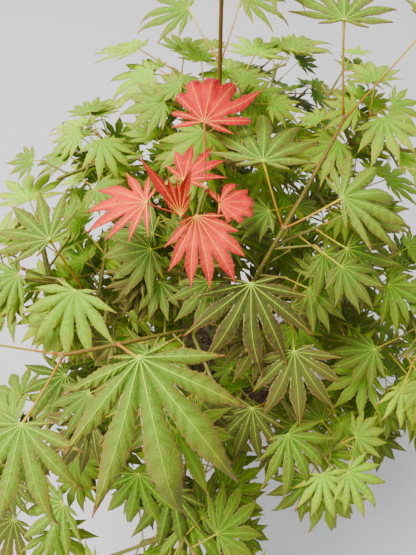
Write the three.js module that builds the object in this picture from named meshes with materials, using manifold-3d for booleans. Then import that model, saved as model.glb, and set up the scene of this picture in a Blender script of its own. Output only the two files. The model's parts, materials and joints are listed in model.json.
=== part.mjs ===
// Potted full moon maple: a young plant in a plain nursery pot.
// Lengths are millimetres, +Z is up, and the origin is the middle of the pot's flat underside.
// Angles are degrees: a bearing turns from +X towards +Y, and a rise is measured up from the level.

import * as THREE from 'three';
import { mergeVertices } from 'three/addons/utils/BufferGeometryUtils.js';
import Module from 'manifold-3d';

const wasm = await Module();
wasm.setup();

// Pot and its filling
const POT = {
  height: 187, baseRadius: 80, rimRadius: 104, wall: 2.4, floor: 3,
  lipHeight: 9, lipProud: 3.4, edge: 1.2, sides: 32,
};
const DRAIN = { count: 6, radius: 6, ring: 58, sides: 8 };
const COMPOST = { level: 175.7, drop: 5, flat: 40, clearance: 0.3 };

// Clearances and sizes that all wood and leaves share
const SEAT_GAP = 0.3;
const PATH_STEPS = 16;
const LIMB = { sides: 6, steps: 5 };
const STEM = { footRadius: 1.9, tipRadius: 1.2, sides: 5, steps: 4, pairGap: 0.07 };
const TWIG = { footRadius: 1.4, tipRadius: 1.2, sides: 3, pairAt: 0.85 };
const STALK = { footRadius: 0.55, jointRadius: 0.8, feelers: 10 };
const BLADE = { lobeTurn: 26, lobeFall: 0.045, notch: 0.49 };
const LOBES = { shown: { outer: 3, turn: 1 }, grown: { outer: 2, turn: 1.4 } };
const FEEL = { outerLobe: 4, shares: [0.35, 0.7, 1.0] };
const CLEAR = { blades: 3.5, ownBlades: 1.2, rods: 3, ownRods: 1, margin: 2, spacing: 5 };
const SPACE = { reach: 40, lowest: 215, marks: [0.1, 0.4, 0.7, 1.0], bladeMark: 0.4 };
const TRIES = 2;

const TRUNK = {
  foot: [4, -6, 176], bearing: [100, 110], rise: [82, 88], length: 128,
  footRadius: 9, tipRadius: 6, flare: 5, flareShare: 0.12, sides: 10, steps: 12,
};

// Each bough leaves its parent partway along and ends at its tip, where its mass of leaves starts.
const BOUGHS = [
  { name: 'leader', parent: 'trunk', along: 1.0, tip: [-8, 90, 505], bow: 0.12, radii: [5.0, 2.6] },
  { name: 'coral', parent: 'trunk', along: 1.0, tip: [-32, -2, 485], bow: 0.2, radii: [4.2, 2.2] },
  { name: 'right_top', parent: 'coral', along: 0.5, tip: [9, -11, 482], bow: 0.25, radii: [3.0, 2.2] },
  { name: 'left_front', parent: 'trunk', along: 0.86, tip: [-30, -34, 480], bow: 0.32, radii: [4.2, 2.3] },
  { name: 'left', parent: 'trunk', along: 0.72, tip: [-77, -7, 435], bow: 0.22, radii: [4.2, 2.2] },
  { name: 'left_low', parent: 'left', along: 0.42, tip: [-82, -58, 390], bow: 0.2, radii: [3.0, 2.0] },
  { name: 'front_low', parent: 'left_front', along: 0.34, tip: [-31, -94, 390], bow: 0.22, radii: [3.2, 2.0] },
  { name: 'front_right', parent: 'trunk', along: 0.6, tip: [43, -61, 379], bow: 0.22, radii: [4.0, 2.1] },
  { name: 'right', parent: 'trunk', along: 0.72, tip: [74, 13, 396], bow: 0.22, radii: [4.0, 2.1] },
  { name: 'right_back', parent: 'trunk', along: 0.86, tip: [56, 62, 438], bow: 0.22, radii: [3.8, 2.1] },
  { name: 'back', parent: 'leader', along: 0.3, tip: [20, 126, 427], bow: 0.22, radii: [3.0, 2.0] },
  { name: 'left_back', parent: 'trunk', along: 0.6, tip: [-53, 66, 425], bow: 0.25, radii: [3.8, 2.1] },
  { name: 'back_low', parent: 'trunk', along: 0.5, tip: [-20, 88, 329], bow: 0.2, radii: [3.4, 2.0] },
  { name: 'right_low', parent: 'trunk', along: 0.44, tip: [78, -24, 319], bow: 0.2, radii: [3.4, 2.0] },
  { name: 'left_lower', parent: 'trunk', along: 0.44, tip: [-76, 23, 315], bow: 0.2, radii: [3.4, 2.0] },
];

// Colours of the blades, by the age and shade of the leaf
const TINT = {
  coral: 0xd4555a, bronze: 0x76824a, deep: 0x5c7a3c, mid: 0x6f9a48, light: 0x8fb95e, lime: 0xa6cc5c,
};

// One leaf of a show shoot: where its stalk leaves the stem, the stalk's bearing, rise and length,
// the blade's bearing, dip, roll and sag, the length of its middle lobe, and its colour.
function leafRow(along, stalk, blade, size, tint) {
  return { along, stalk, blade, size, tint };
}

// Each mass: the stem's bearing, rise and length, the shares of it where sprigs grow, and the leaf size.
const MASSES = [
  {
    name: 'leader', bearing: [100, 90], rise: [66, 92], length: 172, sprigs: [0.1, 0.34], phase: 10,
    size: 46, dip: [-4, 14], twig: [40, 60], ceiling: 600, tipLeaves: true, tint: 'mid', seed: 4,
    shown: [
      leafRow(0.62, [115, 8, 52], [174, 2, 8, 0.15], 43, 'mid'),
      leafRow(0.62, [76, 4, 66], [10, 2, -6, 0.15], 43, 'mid'),
      leafRow(0.4, [58, 16, 54], [80, 4, 0, 0.2], 44, 'light'),
      leafRow(0.3, [128, 12, 40], [180, 8, 0, 0.2], 50, 'mid'),
    ],
  },
  {
    name: 'coral', bearing: [100, 60], rise: [95, 50], length: 112, sprigs: [0.06, 0.34], phase: 40,
    size: 52, dip: [5, 20], twig: [30, 40], ceiling: 550, tipLeaves: false, tint: 'deep', seed: 25,
    shown: [
      leafRow(1, [91, 26, 42], [80, -16, 0, 0.1], 36, 'coral'),
      leafRow(0.8, [178, 30, 36], [190, 8, -10, 0.22], 46, 'coral'),
      leafRow(0.8, [233, 58, 28], [92, -56, 12, -0.15], 42, 'coral'),
      leafRow(1, [318, -24, 13], [14, 4, 0, 0.25], 27, 'coral'),
      leafRow(0.8, [272, 66, 18], [284, 22, 0, 0.12], 50, 'coral'),
    ],
  },
  {
    name: 'right_top', bearing: [46, 62], rise: [82, 8], length: 170, sprigs: [0.1, 0.42], phase: 0,
    size: 54, dip: [5, 20], twig: [40, 60], ceiling: 560, tipLeaves: false, tint: 'deep', seed: 13,
    shown: [
      leafRow(0.5, [126, 54, 52], [84, 4, 0, 0.15], 62, 'bronze'),
      leafRow(0.5, [10, 42, 45], [354, 12, 0, 0.2], 60, 'mid'),
      leafRow(1, [129, 68, 62], [82, 0, 0, 0.12], 56, 'bronze'),
      leafRow(1, [37, 40, 72], [27, 6, 0, 0.15], 54, 'bronze'),
      leafRow(0.2, [250, 64, 43], [270, 20, 0, 0.2], 70, 'bronze'),
    ],
  },
  {
    name: 'left_front', bearing: [222, 192], rise: [74, 6], length: 122, sprigs: [0.1, 0.4], phase: 0,
    size: 54, dip: [5, 20], twig: [40, 60], ceiling: 545, tipLeaves: false, tint: 'deep', seed: 26,
    shown: [
      leafRow(0.72, [318, 60, 62], [284, 12, 0, 0.14], 78, 'bronze'),
      leafRow(1, [257, 26, 48], [258, 15, 0, 0.18], 62, 'bronze'),
      leafRow(1, [177, 30, 42], [174, 6, 0, 0.2], 51, 'bronze'),
    ],
  },
  {
    name: 'left', bearing: [190, 170], rise: [70, 40], length: 130, sprigs: [0.12, 0.45, 0.78], phase: 0,
    size: 50, dip: [5, 22], twig: [40, 62], ceiling: 540, tipLeaves: false, tint: 'mid', seed: 12,
    shown: [
      leafRow(0.62, [125, 68, 58], [138, 4, 0, 0.1], 56, 'bronze'),
      leafRow(0.8, [178, 28, 28], [206, 6, 0, 0.2], 43, 'mid'),
      leafRow(0.5, [265, 74, 62], [252, 22, 0, 0.18], 56, 'light'),
    ],
  },
  {
    name: 'left_low', bearing: [226, 222], rise: [40, 20], length: 120, sprigs: [0.12, 0.45, 0.78], phase: 0,
    size: 54, dip: [8, 28], twig: [36, 56], ceiling: 470, tipLeaves: true, tint: 'mid', seed: 9,
    shown: [
      leafRow(0.6, [107, 50, 54], [222, 12, 0, 0.2], 54, 'deep'),
      leafRow(1, [314, 10, 42], [220, 15, 0, 0.2], 52, 'mid'),
    ],
  },
  {
    name: 'front_low', bearing: [258, 262], rise: [36, 14], length: 118, sprigs: [0.12, 0.45, 0.78], phase: 0,
    size: 54, dip: [8, 28], twig: [36, 56], ceiling: 480, tipLeaves: true, tint: 'light', seed: 25,
    shown: [
      leafRow(0.5, [170, 62, 64], [258, 24, 0, 0.25], 56, 'deep'),
      leafRow(1, [2, -28, 54], [280, 15, 0, 0.2], 48, 'light'),
    ],
  },
  {
    name: 'front_right', bearing: [296, 300], rise: [48, 10], length: 130, sprigs: [0.12, 0.45, 0.78],
    phase: 0, size: 52, dip: [8, 28], twig: [36, 56], ceiling: 470, tipLeaves: true, tint: 'light', seed: 16,
    shown: [
      leafRow(0.5, [192, 62, 54], [300, 15, 0, 0.2], 54, 'mid'),
      leafRow(1, [108, 26, 25], [318, 10, 0, 0.2], 44, 'lime'),
      leafRow(0.8, [192, 26, 13], [286, 15, 0, 0.2], 44, 'lime'),
    ],
  },
  {
    name: 'right', bearing: [352, 335], rise: [56, 14], length: 130, sprigs: [0.12, 0.45, 0.78], phase: 0,
    size: 48, dip: [8, 26], twig: [36, 56], ceiling: 500, tipLeaves: true, tint: 'light', seed: 26,
    shown: [
      leafRow(1, [240, -10, 66], [294, 15, 0, 0.2], 42, 'lime'),
      leafRow(0.75, [163, 64, 46], [310, 10, 0, 0.2], 43, 'mid'),
      leafRow(0.3, [271, 38, 68], [8, 10, 0, 0.2], 40, 'light'),
    ],
  },
  {
    name: 'right_back', bearing: [48, 40], rise: [76, 56], length: 150, sprigs: [0.12, 0.45, 0.78], phase: 0,
    size: 42, dip: [2, 20], twig: [36, 56], ceiling: 610, tipLeaves: true, tint: 'mid', seed: 21,
    shown: [
      leafRow(0.05, [287, 48, 72], [303, 15, 0, 0.22], 52, 'light'),
    ],
  },
  {
    name: 'back', bearing: [78, 70], rise: [56, 40], length: 135, sprigs: [0.2, 0.62], phase: 0,
    size: 44, dip: [4, 24], twig: [36, 56], ceiling: 590, tipLeaves: true, tint: 'mid', seed: 23, shown: [],
  },
  {
    name: 'left_back', bearing: [134, 150], rise: [74, 50], length: 145, sprigs: [0.12, 0.45, 0.78], phase: 0,
    size: 42, dip: [2, 20], twig: [36, 56], ceiling: 590, tipLeaves: true, tint: 'light', seed: 15, shown: [],
  },
  {
    name: 'back_low', bearing: [106, 100], rise: [46, 24], length: 120, sprigs: [0.2, 0.62], phase: 0,
    size: 50, dip: [10, 32], twig: [36, 56], ceiling: 600, tipLeaves: true, tint: 'mid', seed: 14, shown: [],
  },
  {
    name: 'right_low', bearing: [346, 352], rise: [44, 20], length: 112, sprigs: [0.2, 0.62], phase: 0,
    size: 50, dip: [10, 32], twig: [36, 56], ceiling: 600, tipLeaves: true, tint: 'mid', seed: 2, shown: [],
  },
  {
    name: 'left_lower', bearing: [168, 176], rise: [44, 20], length: 116, sprigs: [0.2, 0.62], phase: 0,
    size: 50, dip: [10, 32], twig: [36, 56], ceiling: 600, tipLeaves: true, tint: 'mid', seed: 16, shown: [],
  },
];

// Finishes
const PLASTIC = { color: 0x1c1d1e, roughness: 0.55, metalness: 0 };
const SOIL = { color: 0x3a2a1e, roughness: 0.95, metalness: 0 };
const BARK = { color: 0x6e6246, roughness: 0.8, metalness: 0 };
const LEAF_SURFACE = { roughness: 0.6, metalness: 0, flatShading: true };

const radians = THREE.MathUtils.degToRad;
const vector = (xyz) => new THREE.Vector3(...xyz);
const mix = (pair, share) => pair[0] + (pair[1] - pair[0]) * share;

// A repeatable source of numbers between two limits
class Dice {
  constructor(seed) {
    this.state = seed;
  }

  roll(low, high) {
    this.state = (this.state * 1664525 + 1013904223) % 4294967296;
    return low + (high - low) * this.state / 4294967296;
  }
}

function direction(bearing, rise) {
  const flat = Math.cos(radians(rise));
  return new THREE.Vector3(
    flat * Math.cos(radians(bearing)), flat * Math.sin(radians(bearing)), Math.sin(radians(rise)),
  );
}

function anglesOf(heading) {
  return {
    bearing: THREE.MathUtils.radToDeg(Math.atan2(heading.y, heading.x)),
    rise: THREE.MathUtils.radToDeg(Math.asin(heading.z / heading.length())),
  };
}

// A path whose bearing and rise change evenly along its length
function sweep(start, bearing, rise, length, steps = PATH_STEPS) {
  const path = [start.clone()];
  for (let i = 0; i < steps; i++) {
    const share = (i + 0.5) / steps;
    const step = direction(mix(bearing, share), mix(rise, share)).multiplyScalar(length / steps);
    path.push(path[i].clone().add(step));
  }
  return path;
}

// A bough's path: it leaves its parent outwards and turns up to its tip
function bend(start, tip, bow) {
  const gap = tip.clone().sub(start);
  const control = start.clone().add(gap.multiply(new THREE.Vector3(0.5 + bow, 0.5 + bow, 0.5 - bow)));
  return new THREE.QuadraticBezierCurve3(start, control, tip).getPoints(PATH_STEPS);
}

function pointOn(path, share) {
  const place = share * (path.length - 1);
  const i = Math.min(Math.floor(place), path.length - 2);
  return path[i].clone().lerp(path[i + 1], place - i);
}

function headingOn(path, share) {
  const i = Math.min(Math.floor(share * (path.length - 1)), path.length - 2);
  return path[i + 1].clone().sub(path[i]).normalize();
}

function resample(path) {
  let length = 0;
  for (let i = 1; i < path.length; i++) length += path[i].distanceTo(path[i - 1]);
  const count = Math.max(2, Math.ceil(length / CLEAR.spacing));
  return Array.from({ length: count + 1 }, (_, i) => pointOn(path, i / count));
}

const lobeReach = (lobe) => 1 - BLADE.lobeFall * lobe * lobe;

// A leaf: its stalk from the wood to the joint, and its lobed blade, bent down from the joint
class Leaf {
  constructor(foot, stalk, blade, size, tint) {
    this.foot = foot;
    this.size = size;
    this.tint = tint;
    this.sag = blade[3];
    this.joint = foot.clone().add(direction(stalk[0], stalk[1]).multiplyScalar(stalk[2]));
    this.ahead = direction(blade[0], -blade[1]);
    const level = direction(blade[0] + 90, 0);
    const over = this.ahead.clone().cross(level);
    const roll = radians(blade[2]);
    this.left = level.clone().multiplyScalar(Math.cos(roll)).addScaledVector(over, -Math.sin(roll));
    this.face = over.multiplyScalar(Math.cos(roll)).addScaledVector(level, Math.sin(roll));
    this.feelers = [this.joint];
    for (let lobe = -FEEL.outerLobe; lobe <= FEEL.outerLobe; lobe++) {
      for (const share of FEEL.shares) {
        this.feelers.push(this.place(lobe * BLADE.lobeTurn, lobeReach(lobe) * share));
      }
    }
    this.rod = Array.from({ length: STALK.feelers + 1 },
      (_, i) => foot.clone().lerp(this.joint, i / STALK.feelers));
  }

  // A point of the blade at an angle from its middle lobe and a share of its length
  place(angle, share) {
    const reach = share * this.size;
    return this.joint.clone()
      .addScaledVector(this.ahead, reach * Math.cos(radians(angle)))
      .addScaledVector(this.left, reach * Math.sin(radians(angle)))
      .addScaledVector(this.face, -this.sag * reach * reach / this.size);
  }

  // Whether all points over or under the blade lie on one side of it, further than the gap
  clears(points, gap) {
    let lowest = Infinity;
    let highest = -Infinity;
    for (const point of points) {
      const away = point.clone().sub(this.joint);
      const along = away.dot(this.ahead);
      const aside = away.dot(this.left);
      const reach = Math.hypot(along, aside);
      const lobe = THREE.MathUtils.radToDeg(Math.atan2(aside, along)) / BLADE.lobeTurn;
      if (reach < 1.04 * this.size * lobeReach(lobe) + CLEAR.margin) {
        const height = away.dot(this.face) + this.sag * reach * reach / this.size;
        lowest = Math.min(lowest, height);
        highest = Math.max(highest, height);
      }
    }
    return lowest > gap || highest < -gap;
  }
}

const nearest = (point, others) => Math.min(...others.map((other) => other.distanceTo(point)));
const nearestOf = (points, others) => Math.min(...points.map((point) => nearest(point, others)));
const reachApart = (a, b) => Math.max(Math.abs(a.x - b.x), Math.abs(a.y - b.y), Math.abs(a.z - b.z));

// The plant's wood and leaves as paths and blades, grown from the tables above
class Plant {
  constructor() {
    this.limbs = { trunk: sweep(vector(TRUNK.foot), TRUNK.bearing, TRUNK.rise, TRUNK.length) };
    for (const bough of BOUGHS) {
      const start = pointOn(this.limbs[bough.parent], bough.along);
      this.limbs[bough.name] = bend(start, vector(bough.tip), bough.bow);
    }
    this.stems = MASSES.map((mass) => {
      const bough = this.limbs[mass.name];
      const start = bough.at(-1).clone().addScaledVector(headingOn(bough, 1), SEAT_GAP);
      return sweep(start, mass.bearing, mass.rise, mass.length);
    });
    this.shown = MASSES.map((mass, k) => mass.shown.map((row) => new Leaf(
      pointOn(this.stems[k], row.along), row.stalk, row.blade, row.size, row.tint)));
    this.marks = this.stems.map((stem, k) => [
      ...SPACE.marks.map((share) => pointOn(stem, share)),
      ...this.shown[k].map((leaf) => leaf.place(0, SPACE.bladeMark)),
    ]);
    this.leaves = [];
    this.twigs = MASSES.map(() => []);
    this.rods = [{ points: resample(this.limbs.trunk), radius: TRUNK.footRadius, mass: -1 }];
    for (const bough of BOUGHS) {
      this.rods.push({ points: resample(this.limbs[bough.name]), radius: bough.radii[0], mass: -1 });
    }
    this.stems.forEach((stem, k) => {
      this.rods.push({ points: resample(stem), radius: STEM.footRadius, mass: k });
    });
    this.shown.forEach((leaves, k) => leaves.forEach((leaf) => this.offer(leaf, k, true)));
    MASSES.forEach((mass, k) => this.growMass(mass, k));
  }

  // A mass keeps near its own stem and leaves, under its ceiling
  inSpace(points, k, ceiling) {
    return points.every((point) => {
      if (point.z < SPACE.lowest || point.z > ceiling) return false;
      const own = nearest(point, this.marks[k]);
      return this.marks.every((marks, other) => other === k || own <= nearest(point, marks) + SPACE.reach);
    });
  }

  rodClears(points, radius, k) {
    const end = points.at(-1);
    const offRods = this.rods.every((rod) => rod.mass === k
      || nearestOf(points, rod.points) >= radius + rod.radius + CLEAR.rods);
    return offRods && this.leaves.every((other) => reachApart(other.joint, end) >= other.size + 80
      || other.clears(points, radius + (other.mass === k ? CLEAR.ownRods : CLEAR.rods)));
  }

  bladeClears(leaf, k, isShown) {
    const offBlades = this.leaves.every((other) => {
      if (reachApart(other.joint, leaf.joint) > other.size + leaf.size) return true;
      if (isShown && other.mass === k) return true;
      const gap = other.mass === k ? CLEAR.ownBlades : CLEAR.blades;
      return leaf.clears(other.feelers, gap) && other.clears(leaf.feelers, gap);
    });
    return offBlades && this.rods.every((rod) => (isShown && rod.mass === k)
      || leaf.clears(rod.points, rod.radius + (rod.mass === k ? CLEAR.ownRods : CLEAR.rods)));
  }

  // Keeps the leaf if it stays in its mass's space and touches nothing
  offer(leaf, k, isShown = false, ceiling = Infinity) {
    if (!isShown && !this.inSpace(leaf.feelers, k, ceiling)) return false;
    if (!this.rodClears(leaf.rod.slice(3), STALK.jointRadius, k)) return false;
    if (!this.bladeClears(leaf, k, isShown)) return false;
    leaf.mass = k;
    leaf.isShown = isShown;
    this.leaves.push(leaf);
    this.rods.push({ points: leaf.rod.slice(0, -1), radius: STALK.jointRadius, mass: k });
    return true;
  }

  tryLeaf(foot, bearing, rise, size, stalkShare, mass, k, dice, ceiling) {
    for (let attempt = 0; attempt < TRIES; attempt++) {
      const turned = bearing + dice.roll(-16, 16);
      const length = size * dice.roll(0.85, 1.08);
      const stalk = [turned, rise + dice.roll(-12, 22), length * dice.roll(...stalkShare)];
      const blade = [turned + dice.roll(-10, 10), dice.roll(...mass.dip), dice.roll(-16, 16),
        dice.roll(0.08, 0.24)];
      if (this.offer(new Leaf(foot, stalk, blade, length, mass.tint), k, false, ceiling)) return 1;
    }
    return 0;
  }

  // Two crossed pairs of twigs on the stem, each twig with leaves at its tip and its middle
  growSprig(mass, k, dice, share, turn) {
    const stem = this.stems[k];
    const heading = headingOn(stem, share);
    const level = new THREE.Vector3(0, 0, 1).cross(heading);
    const across = level.length() > 0.2 ? level.normalize() : new THREE.Vector3(1, 0, 0);
    const over = heading.clone().cross(across);
    for (let side = 0; side < 4; side++) {
      const node = pointOn(stem, share + STEM.pairGap * (side % 2));
      const angle = radians(mass.phase + turn + 90 * side + dice.roll(-15, 15));
      const out = across.clone().multiplyScalar(Math.cos(angle)).addScaledVector(over, Math.sin(angle));
      const { bearing, rise } = anglesOf(out.multiplyScalar(0.8).addScaledVector(heading, 0.4).normalize());
      const length = dice.roll(...mass.twig);
      const twig = [node, node.clone().addScaledVector(direction(bearing, rise * 0.7 + 3), length)];
      const points = resample(twig);
      if (!this.inSpace(points, k, mass.ceiling) || !this.rodClears(points.slice(1), TWIG.tipRadius, k)) {
        this.tryLeaf(node, bearing, rise, mass.size, [0.45, 0.8], mass, k, dice, mass.ceiling);
        continue;
      }
      const rod = { points, radius: TWIG.tipRadius, mass: k };
      this.rods.push(rod);
      let grown = 0;
      for (const spread of [0, 64, -64]) {
        const foot = pointOn(twig, spread === 0 ? 1 : TWIG.pairAt);
        grown += this.tryLeaf(foot, bearing + spread, 10, mass.size, [0.45, 0.8], mass, k, dice,
          mass.ceiling);
      }
      for (const spread of [78, -78]) {
        grown += this.tryLeaf(pointOn(twig, 0.5), bearing + spread, 8, mass.size * 0.92, [0.35, 0.7],
          mass, k, dice, mass.ceiling);
      }
      if (grown) this.twigs[k].push(twig);
      else this.rods.splice(this.rods.indexOf(rod), 1);
    }
  }

  growMass(mass, k) {
    const dice = new Dice(mass.seed);
    const stem = this.stems[k];
    mass.sprigs.forEach((share, i) => this.growSprig(mass, k, dice, share, 45 * i));
    if (!mass.tipLeaves) return;
    const { bearing } = anglesOf(headingOn(stem, 1));
    for (const turn of [45, 135, 225, 315]) {
      this.tryLeaf(stem.at(-1), bearing + turn, 25, mass.size * 0.85, [0.4, 0.7], mass, k, dice, Infinity);
    }
  }
}

// Solids
function toSolid(geometry) {
  const bare = geometry.clone();
  bare.deleteAttribute('normal');
  bare.deleteAttribute('uv');
  const merged = mergeVertices(bare, 1e-4);
  return new wasm.Manifold(new wasm.Mesh({
    numProp: 3,
    vertProperties: new Float32Array(merged.attributes.position.array),
    triVerts: new Uint32Array(merged.index.array),
  }));
}

function toGeometry(solid) {
  const mesh = solid.getMesh();
  const geometry = new THREE.BufferGeometry();
  geometry.setAttribute('position', new THREE.BufferAttribute(mesh.vertProperties, 3));
  geometry.setIndex(new THREE.BufferAttribute(mesh.triVerts, 1));
  geometry.computeVertexNormals();
  return geometry;
}

// A tapering limb: a cylinder whose rings are carried along the path, square to it
function limbSolid(path, radiusAt, sides, steps, footHeading = headingOn(path, 0)) {
  const geometry = new THREE.CylinderGeometry(1, 1, 1, sides, steps);
  const middle = anglesOf(path.at(-1).clone().sub(path[0]));
  const across = direction(middle.bearing + 90, 0);
  const position = geometry.attributes.position;
  for (let i = 0; i < position.count; i++) {
    const share = position.getY(i) + 0.5;
    const heading = share < 0.01 ? footHeading : headingOn(path, Math.max(0, share - 0.01));
    const side = across.clone().addScaledVector(heading, -across.dot(heading)).normalize();
    const over = side.clone().cross(heading);
    const radius = radiusAt(share);
    const place = pointOn(path, share)
      .addScaledVector(side, position.getX(i) * radius)
      .addScaledVector(over, position.getZ(i) * radius);
    position.setXYZ(i, place.x, place.y, place.z);
  }
  return toSolid(geometry);
}

// Three points round a place, square to a heading, the first one towards the leaf's upper face
function ringRound(place, up, heading, radius) {
  const above = up.clone().addScaledVector(heading, -up.dot(heading)).normalize();
  const left = above.clone().cross(heading);
  return [0, 120, 240].map((turn) => place.clone()
    .addScaledVector(above, radius * Math.cos(radians(turn)))
    .addScaledVector(left, radius * Math.sin(radians(turn))));
}

// The tips and notches of the blade's lobes, from its right side round to its left
function rimOf(leaf) {
  const { outer, turn } = leaf.isShown ? LOBES.shown : LOBES.grown;
  const rim = [];
  for (let i = -outer; i <= outer; i++) {
    const lobe = i * turn;
    if (rim.length) {
      const shorter = Math.min(lobeReach(lobe), lobeReach(lobe - turn));
      rim.push(leaf.place(BLADE.lobeTurn * (lobe - turn / 2), BLADE.notch * shorter));
    }
    rim.push(leaf.place(BLADE.lobeTurn * lobe, lobeReach(lobe)));
  }
  return rim;
}

// A leaf in one piece: a three-sided stalk that opens into a blade of two fans, above and below
function leafSolid(leaf) {
  const heading = leaf.joint.clone().sub(leaf.foot).normalize();
  const middle = heading.clone().add(leaf.ahead).normalize();
  const joint = ringRound(leaf.joint, leaf.face, middle, STALK.jointRadius);
  const above = joint[0].clone().sub(leaf.joint);
  const foot = ringRound(leaf.foot, above, heading, STALK.footRadius);
  const rim = rimOf(leaf);
  const [top, left, right] = [3, 4, 5];
  const first = 6;
  const last = first + rim.length - 1;
  const ahead = (first + last) / 2;
  const faces = [0, 1, 2, top, right, first, top, last, left, left, ahead, right];
  for (let i = 0; i < 3; i++) {
    const next = (i + 1) % 3;
    faces.push(3 + i, 3 + next, next, 3 + i, next, i);
  }
  for (let i = first; i < last; i++) {
    faces.push(top, i, i + 1, i < ahead ? right : left, i + 1, i);
  }
  const geometry = new THREE.BufferGeometry().setFromPoints([...foot, ...joint, ...rim]);
  geometry.setIndex(faces);
  return toSolid(geometry);
}

// All wood and leaves of one mass, joined into one body
function massSolid(plant, k) {
  const stem = plant.stems[k];
  const bough = plant.limbs[MASSES[k].name];
  const pieces = [limbSolid(stem, (share) => mix([STEM.footRadius, STEM.tipRadius], share), STEM.sides,
    STEM.steps, headingOn(bough, 1))];
  for (const twig of plant.twigs[k]) {
    pieces.push(limbSolid(twig, (share) => mix([TWIG.footRadius, TWIG.tipRadius], share), TWIG.sides, 1));
  }
  for (const leaf of plant.leaves.filter((each) => each.mass === k)) {
    pieces.push(leafSolid(leaf));
  }
  return largestPiece(wasm.Manifold.union(pieces));
}

function largestPiece(solid) {
  return solid.decompose().reduce((best, piece) => (piece.volume() > best.volume() ? piece : best));
}

const trunkRadius = (grown) => (share) => grown + mix([TRUNK.footRadius, TRUNK.tipRadius], share)
  + TRUNK.flare * Math.exp(-share / TRUNK.flareShare);

// The same path with its tip moved ahead
function lengthened(path, extra) {
  return [...path.slice(0, -1), path.at(-1).clone().addScaledVector(headingOn(path, 1), extra)];
}

function trunkSolid(plant, grown = 0) {
  return limbSolid(lengthened(plant.limbs.trunk, grown), trunkRadius(grown), TRUNK.sides, TRUNK.steps,
    new THREE.Vector3(0, 0, 1));
}

function boughSolid(plant, bough, grown = 0) {
  return limbSolid(lengthened(plant.limbs[bough.name], grown), (share) => mix(bough.radii, share) + grown,
    LIMB.sides, LIMB.steps);
}

// The pot: a tapered wall with a lip, turned about the upright axis, with drain holes in its floor
function potSolid() {
  const { height, baseRadius, rimRadius, wall, floor, lipHeight, lipProud, edge, sides } = POT;
  const slope = (rimRadius - baseRadius) / height;
  const radiusAt = (z) => baseRadius + slope * z;
  const lipFoot = height - lipHeight;
  const profile = [
    [0, 0], [baseRadius - edge, 0], [baseRadius, edge], [radiusAt(lipFoot), lipFoot],
    [radiusAt(lipFoot) + lipProud, lipFoot], [rimRadius + lipProud, height - edge],
    [rimRadius + lipProud - edge, height], [rimRadius - wall, height],
    [radiusAt(floor) - wall, floor], [0, floor],
  ];
  const turned = new THREE.LatheGeometry(profile.map(([r, z]) => new THREE.Vector2(r, z)), sides);
  turned.rotateX(Math.PI / 2);
  let pot = toSolid(turned);
  for (let i = 0; i < DRAIN.count; i++) {
    const hole = new THREE.CylinderGeometry(DRAIN.radius, DRAIN.radius, 3 * floor, DRAIN.sides);
    const angle = 2 * Math.PI * (i + 0.5) / DRAIN.count;
    hole.rotateX(Math.PI / 2).translate(DRAIN.ring * Math.cos(angle), DRAIN.ring * Math.sin(angle), 0);
    pot = pot.subtract(toSolid(hole));
  }
  return pot;
}

// The compost fills the pot to just below its rim, level round the trunk and lower at the wall
function compostSolid() {
  const slope = (POT.rimRadius - POT.baseRadius) / POT.height;
  const inside = (z) => POT.baseRadius + slope * z - POT.wall - 2 * COMPOST.clearance;
  const foot = POT.floor + COMPOST.clearance;
  const shoulder = COMPOST.level - COMPOST.drop;
  const profile = [
    [0, foot], [inside(foot), foot], [inside(shoulder), shoulder], [COMPOST.flat, COMPOST.level],
    [0, COMPOST.level],
  ];
  const turned = new THREE.LatheGeometry(profile.map(([r, z]) => new THREE.Vector2(r, z)), POT.sides);
  turned.rotateX(Math.PI / 2);
  return toSolid(turned);
}

function named(name, solid, finish) {
  const mesh = new THREE.Mesh(toGeometry(solid), new THREE.MeshStandardMaterial(finish));
  mesh.name = name;
  return mesh;
}

function buildPlant() {
  const group = new THREE.Group();
  const plant = new Plant();
  group.add(named('pot', potSolid(), PLASTIC));
  group.add(named('compost', compostSolid(), SOIL));
  group.add(named('trunk', trunkSolid(plant), BARK));
  let wood = trunkSolid(plant, SEAT_GAP);
  for (const bough of BOUGHS) {
    const cut = largestPiece(boughSolid(plant, bough).subtract(wood));
    group.add(named(`bough_${bough.name}`, cut, BARK));
    wood = wood.add(boughSolid(plant, bough, SEAT_GAP));
  }
  MASSES.forEach((mass, k) => {
    const finish = { ...LEAF_SURFACE, color: TINT[mass.tint] };
    group.add(named(`leaves_${mass.name}`, massSolid(plant, k), finish));
  });
  return group;
}

export default buildPlant();
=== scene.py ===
"""A potted full moon maple, grown by a seeded rule and dressed for its closing look.

The plant's rule works in millimetres, with +Z up and the origin at the middle of the pot's flat underside.
Bearings are degrees from +X towards +Y, and a rise is measured up from the level.
"""
import json
import logging
from collections import defaultdict
from collections.abc import Callable, Sequence
from dataclasses import dataclass, field, replace
from enum import Enum
from itertools import product

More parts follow.
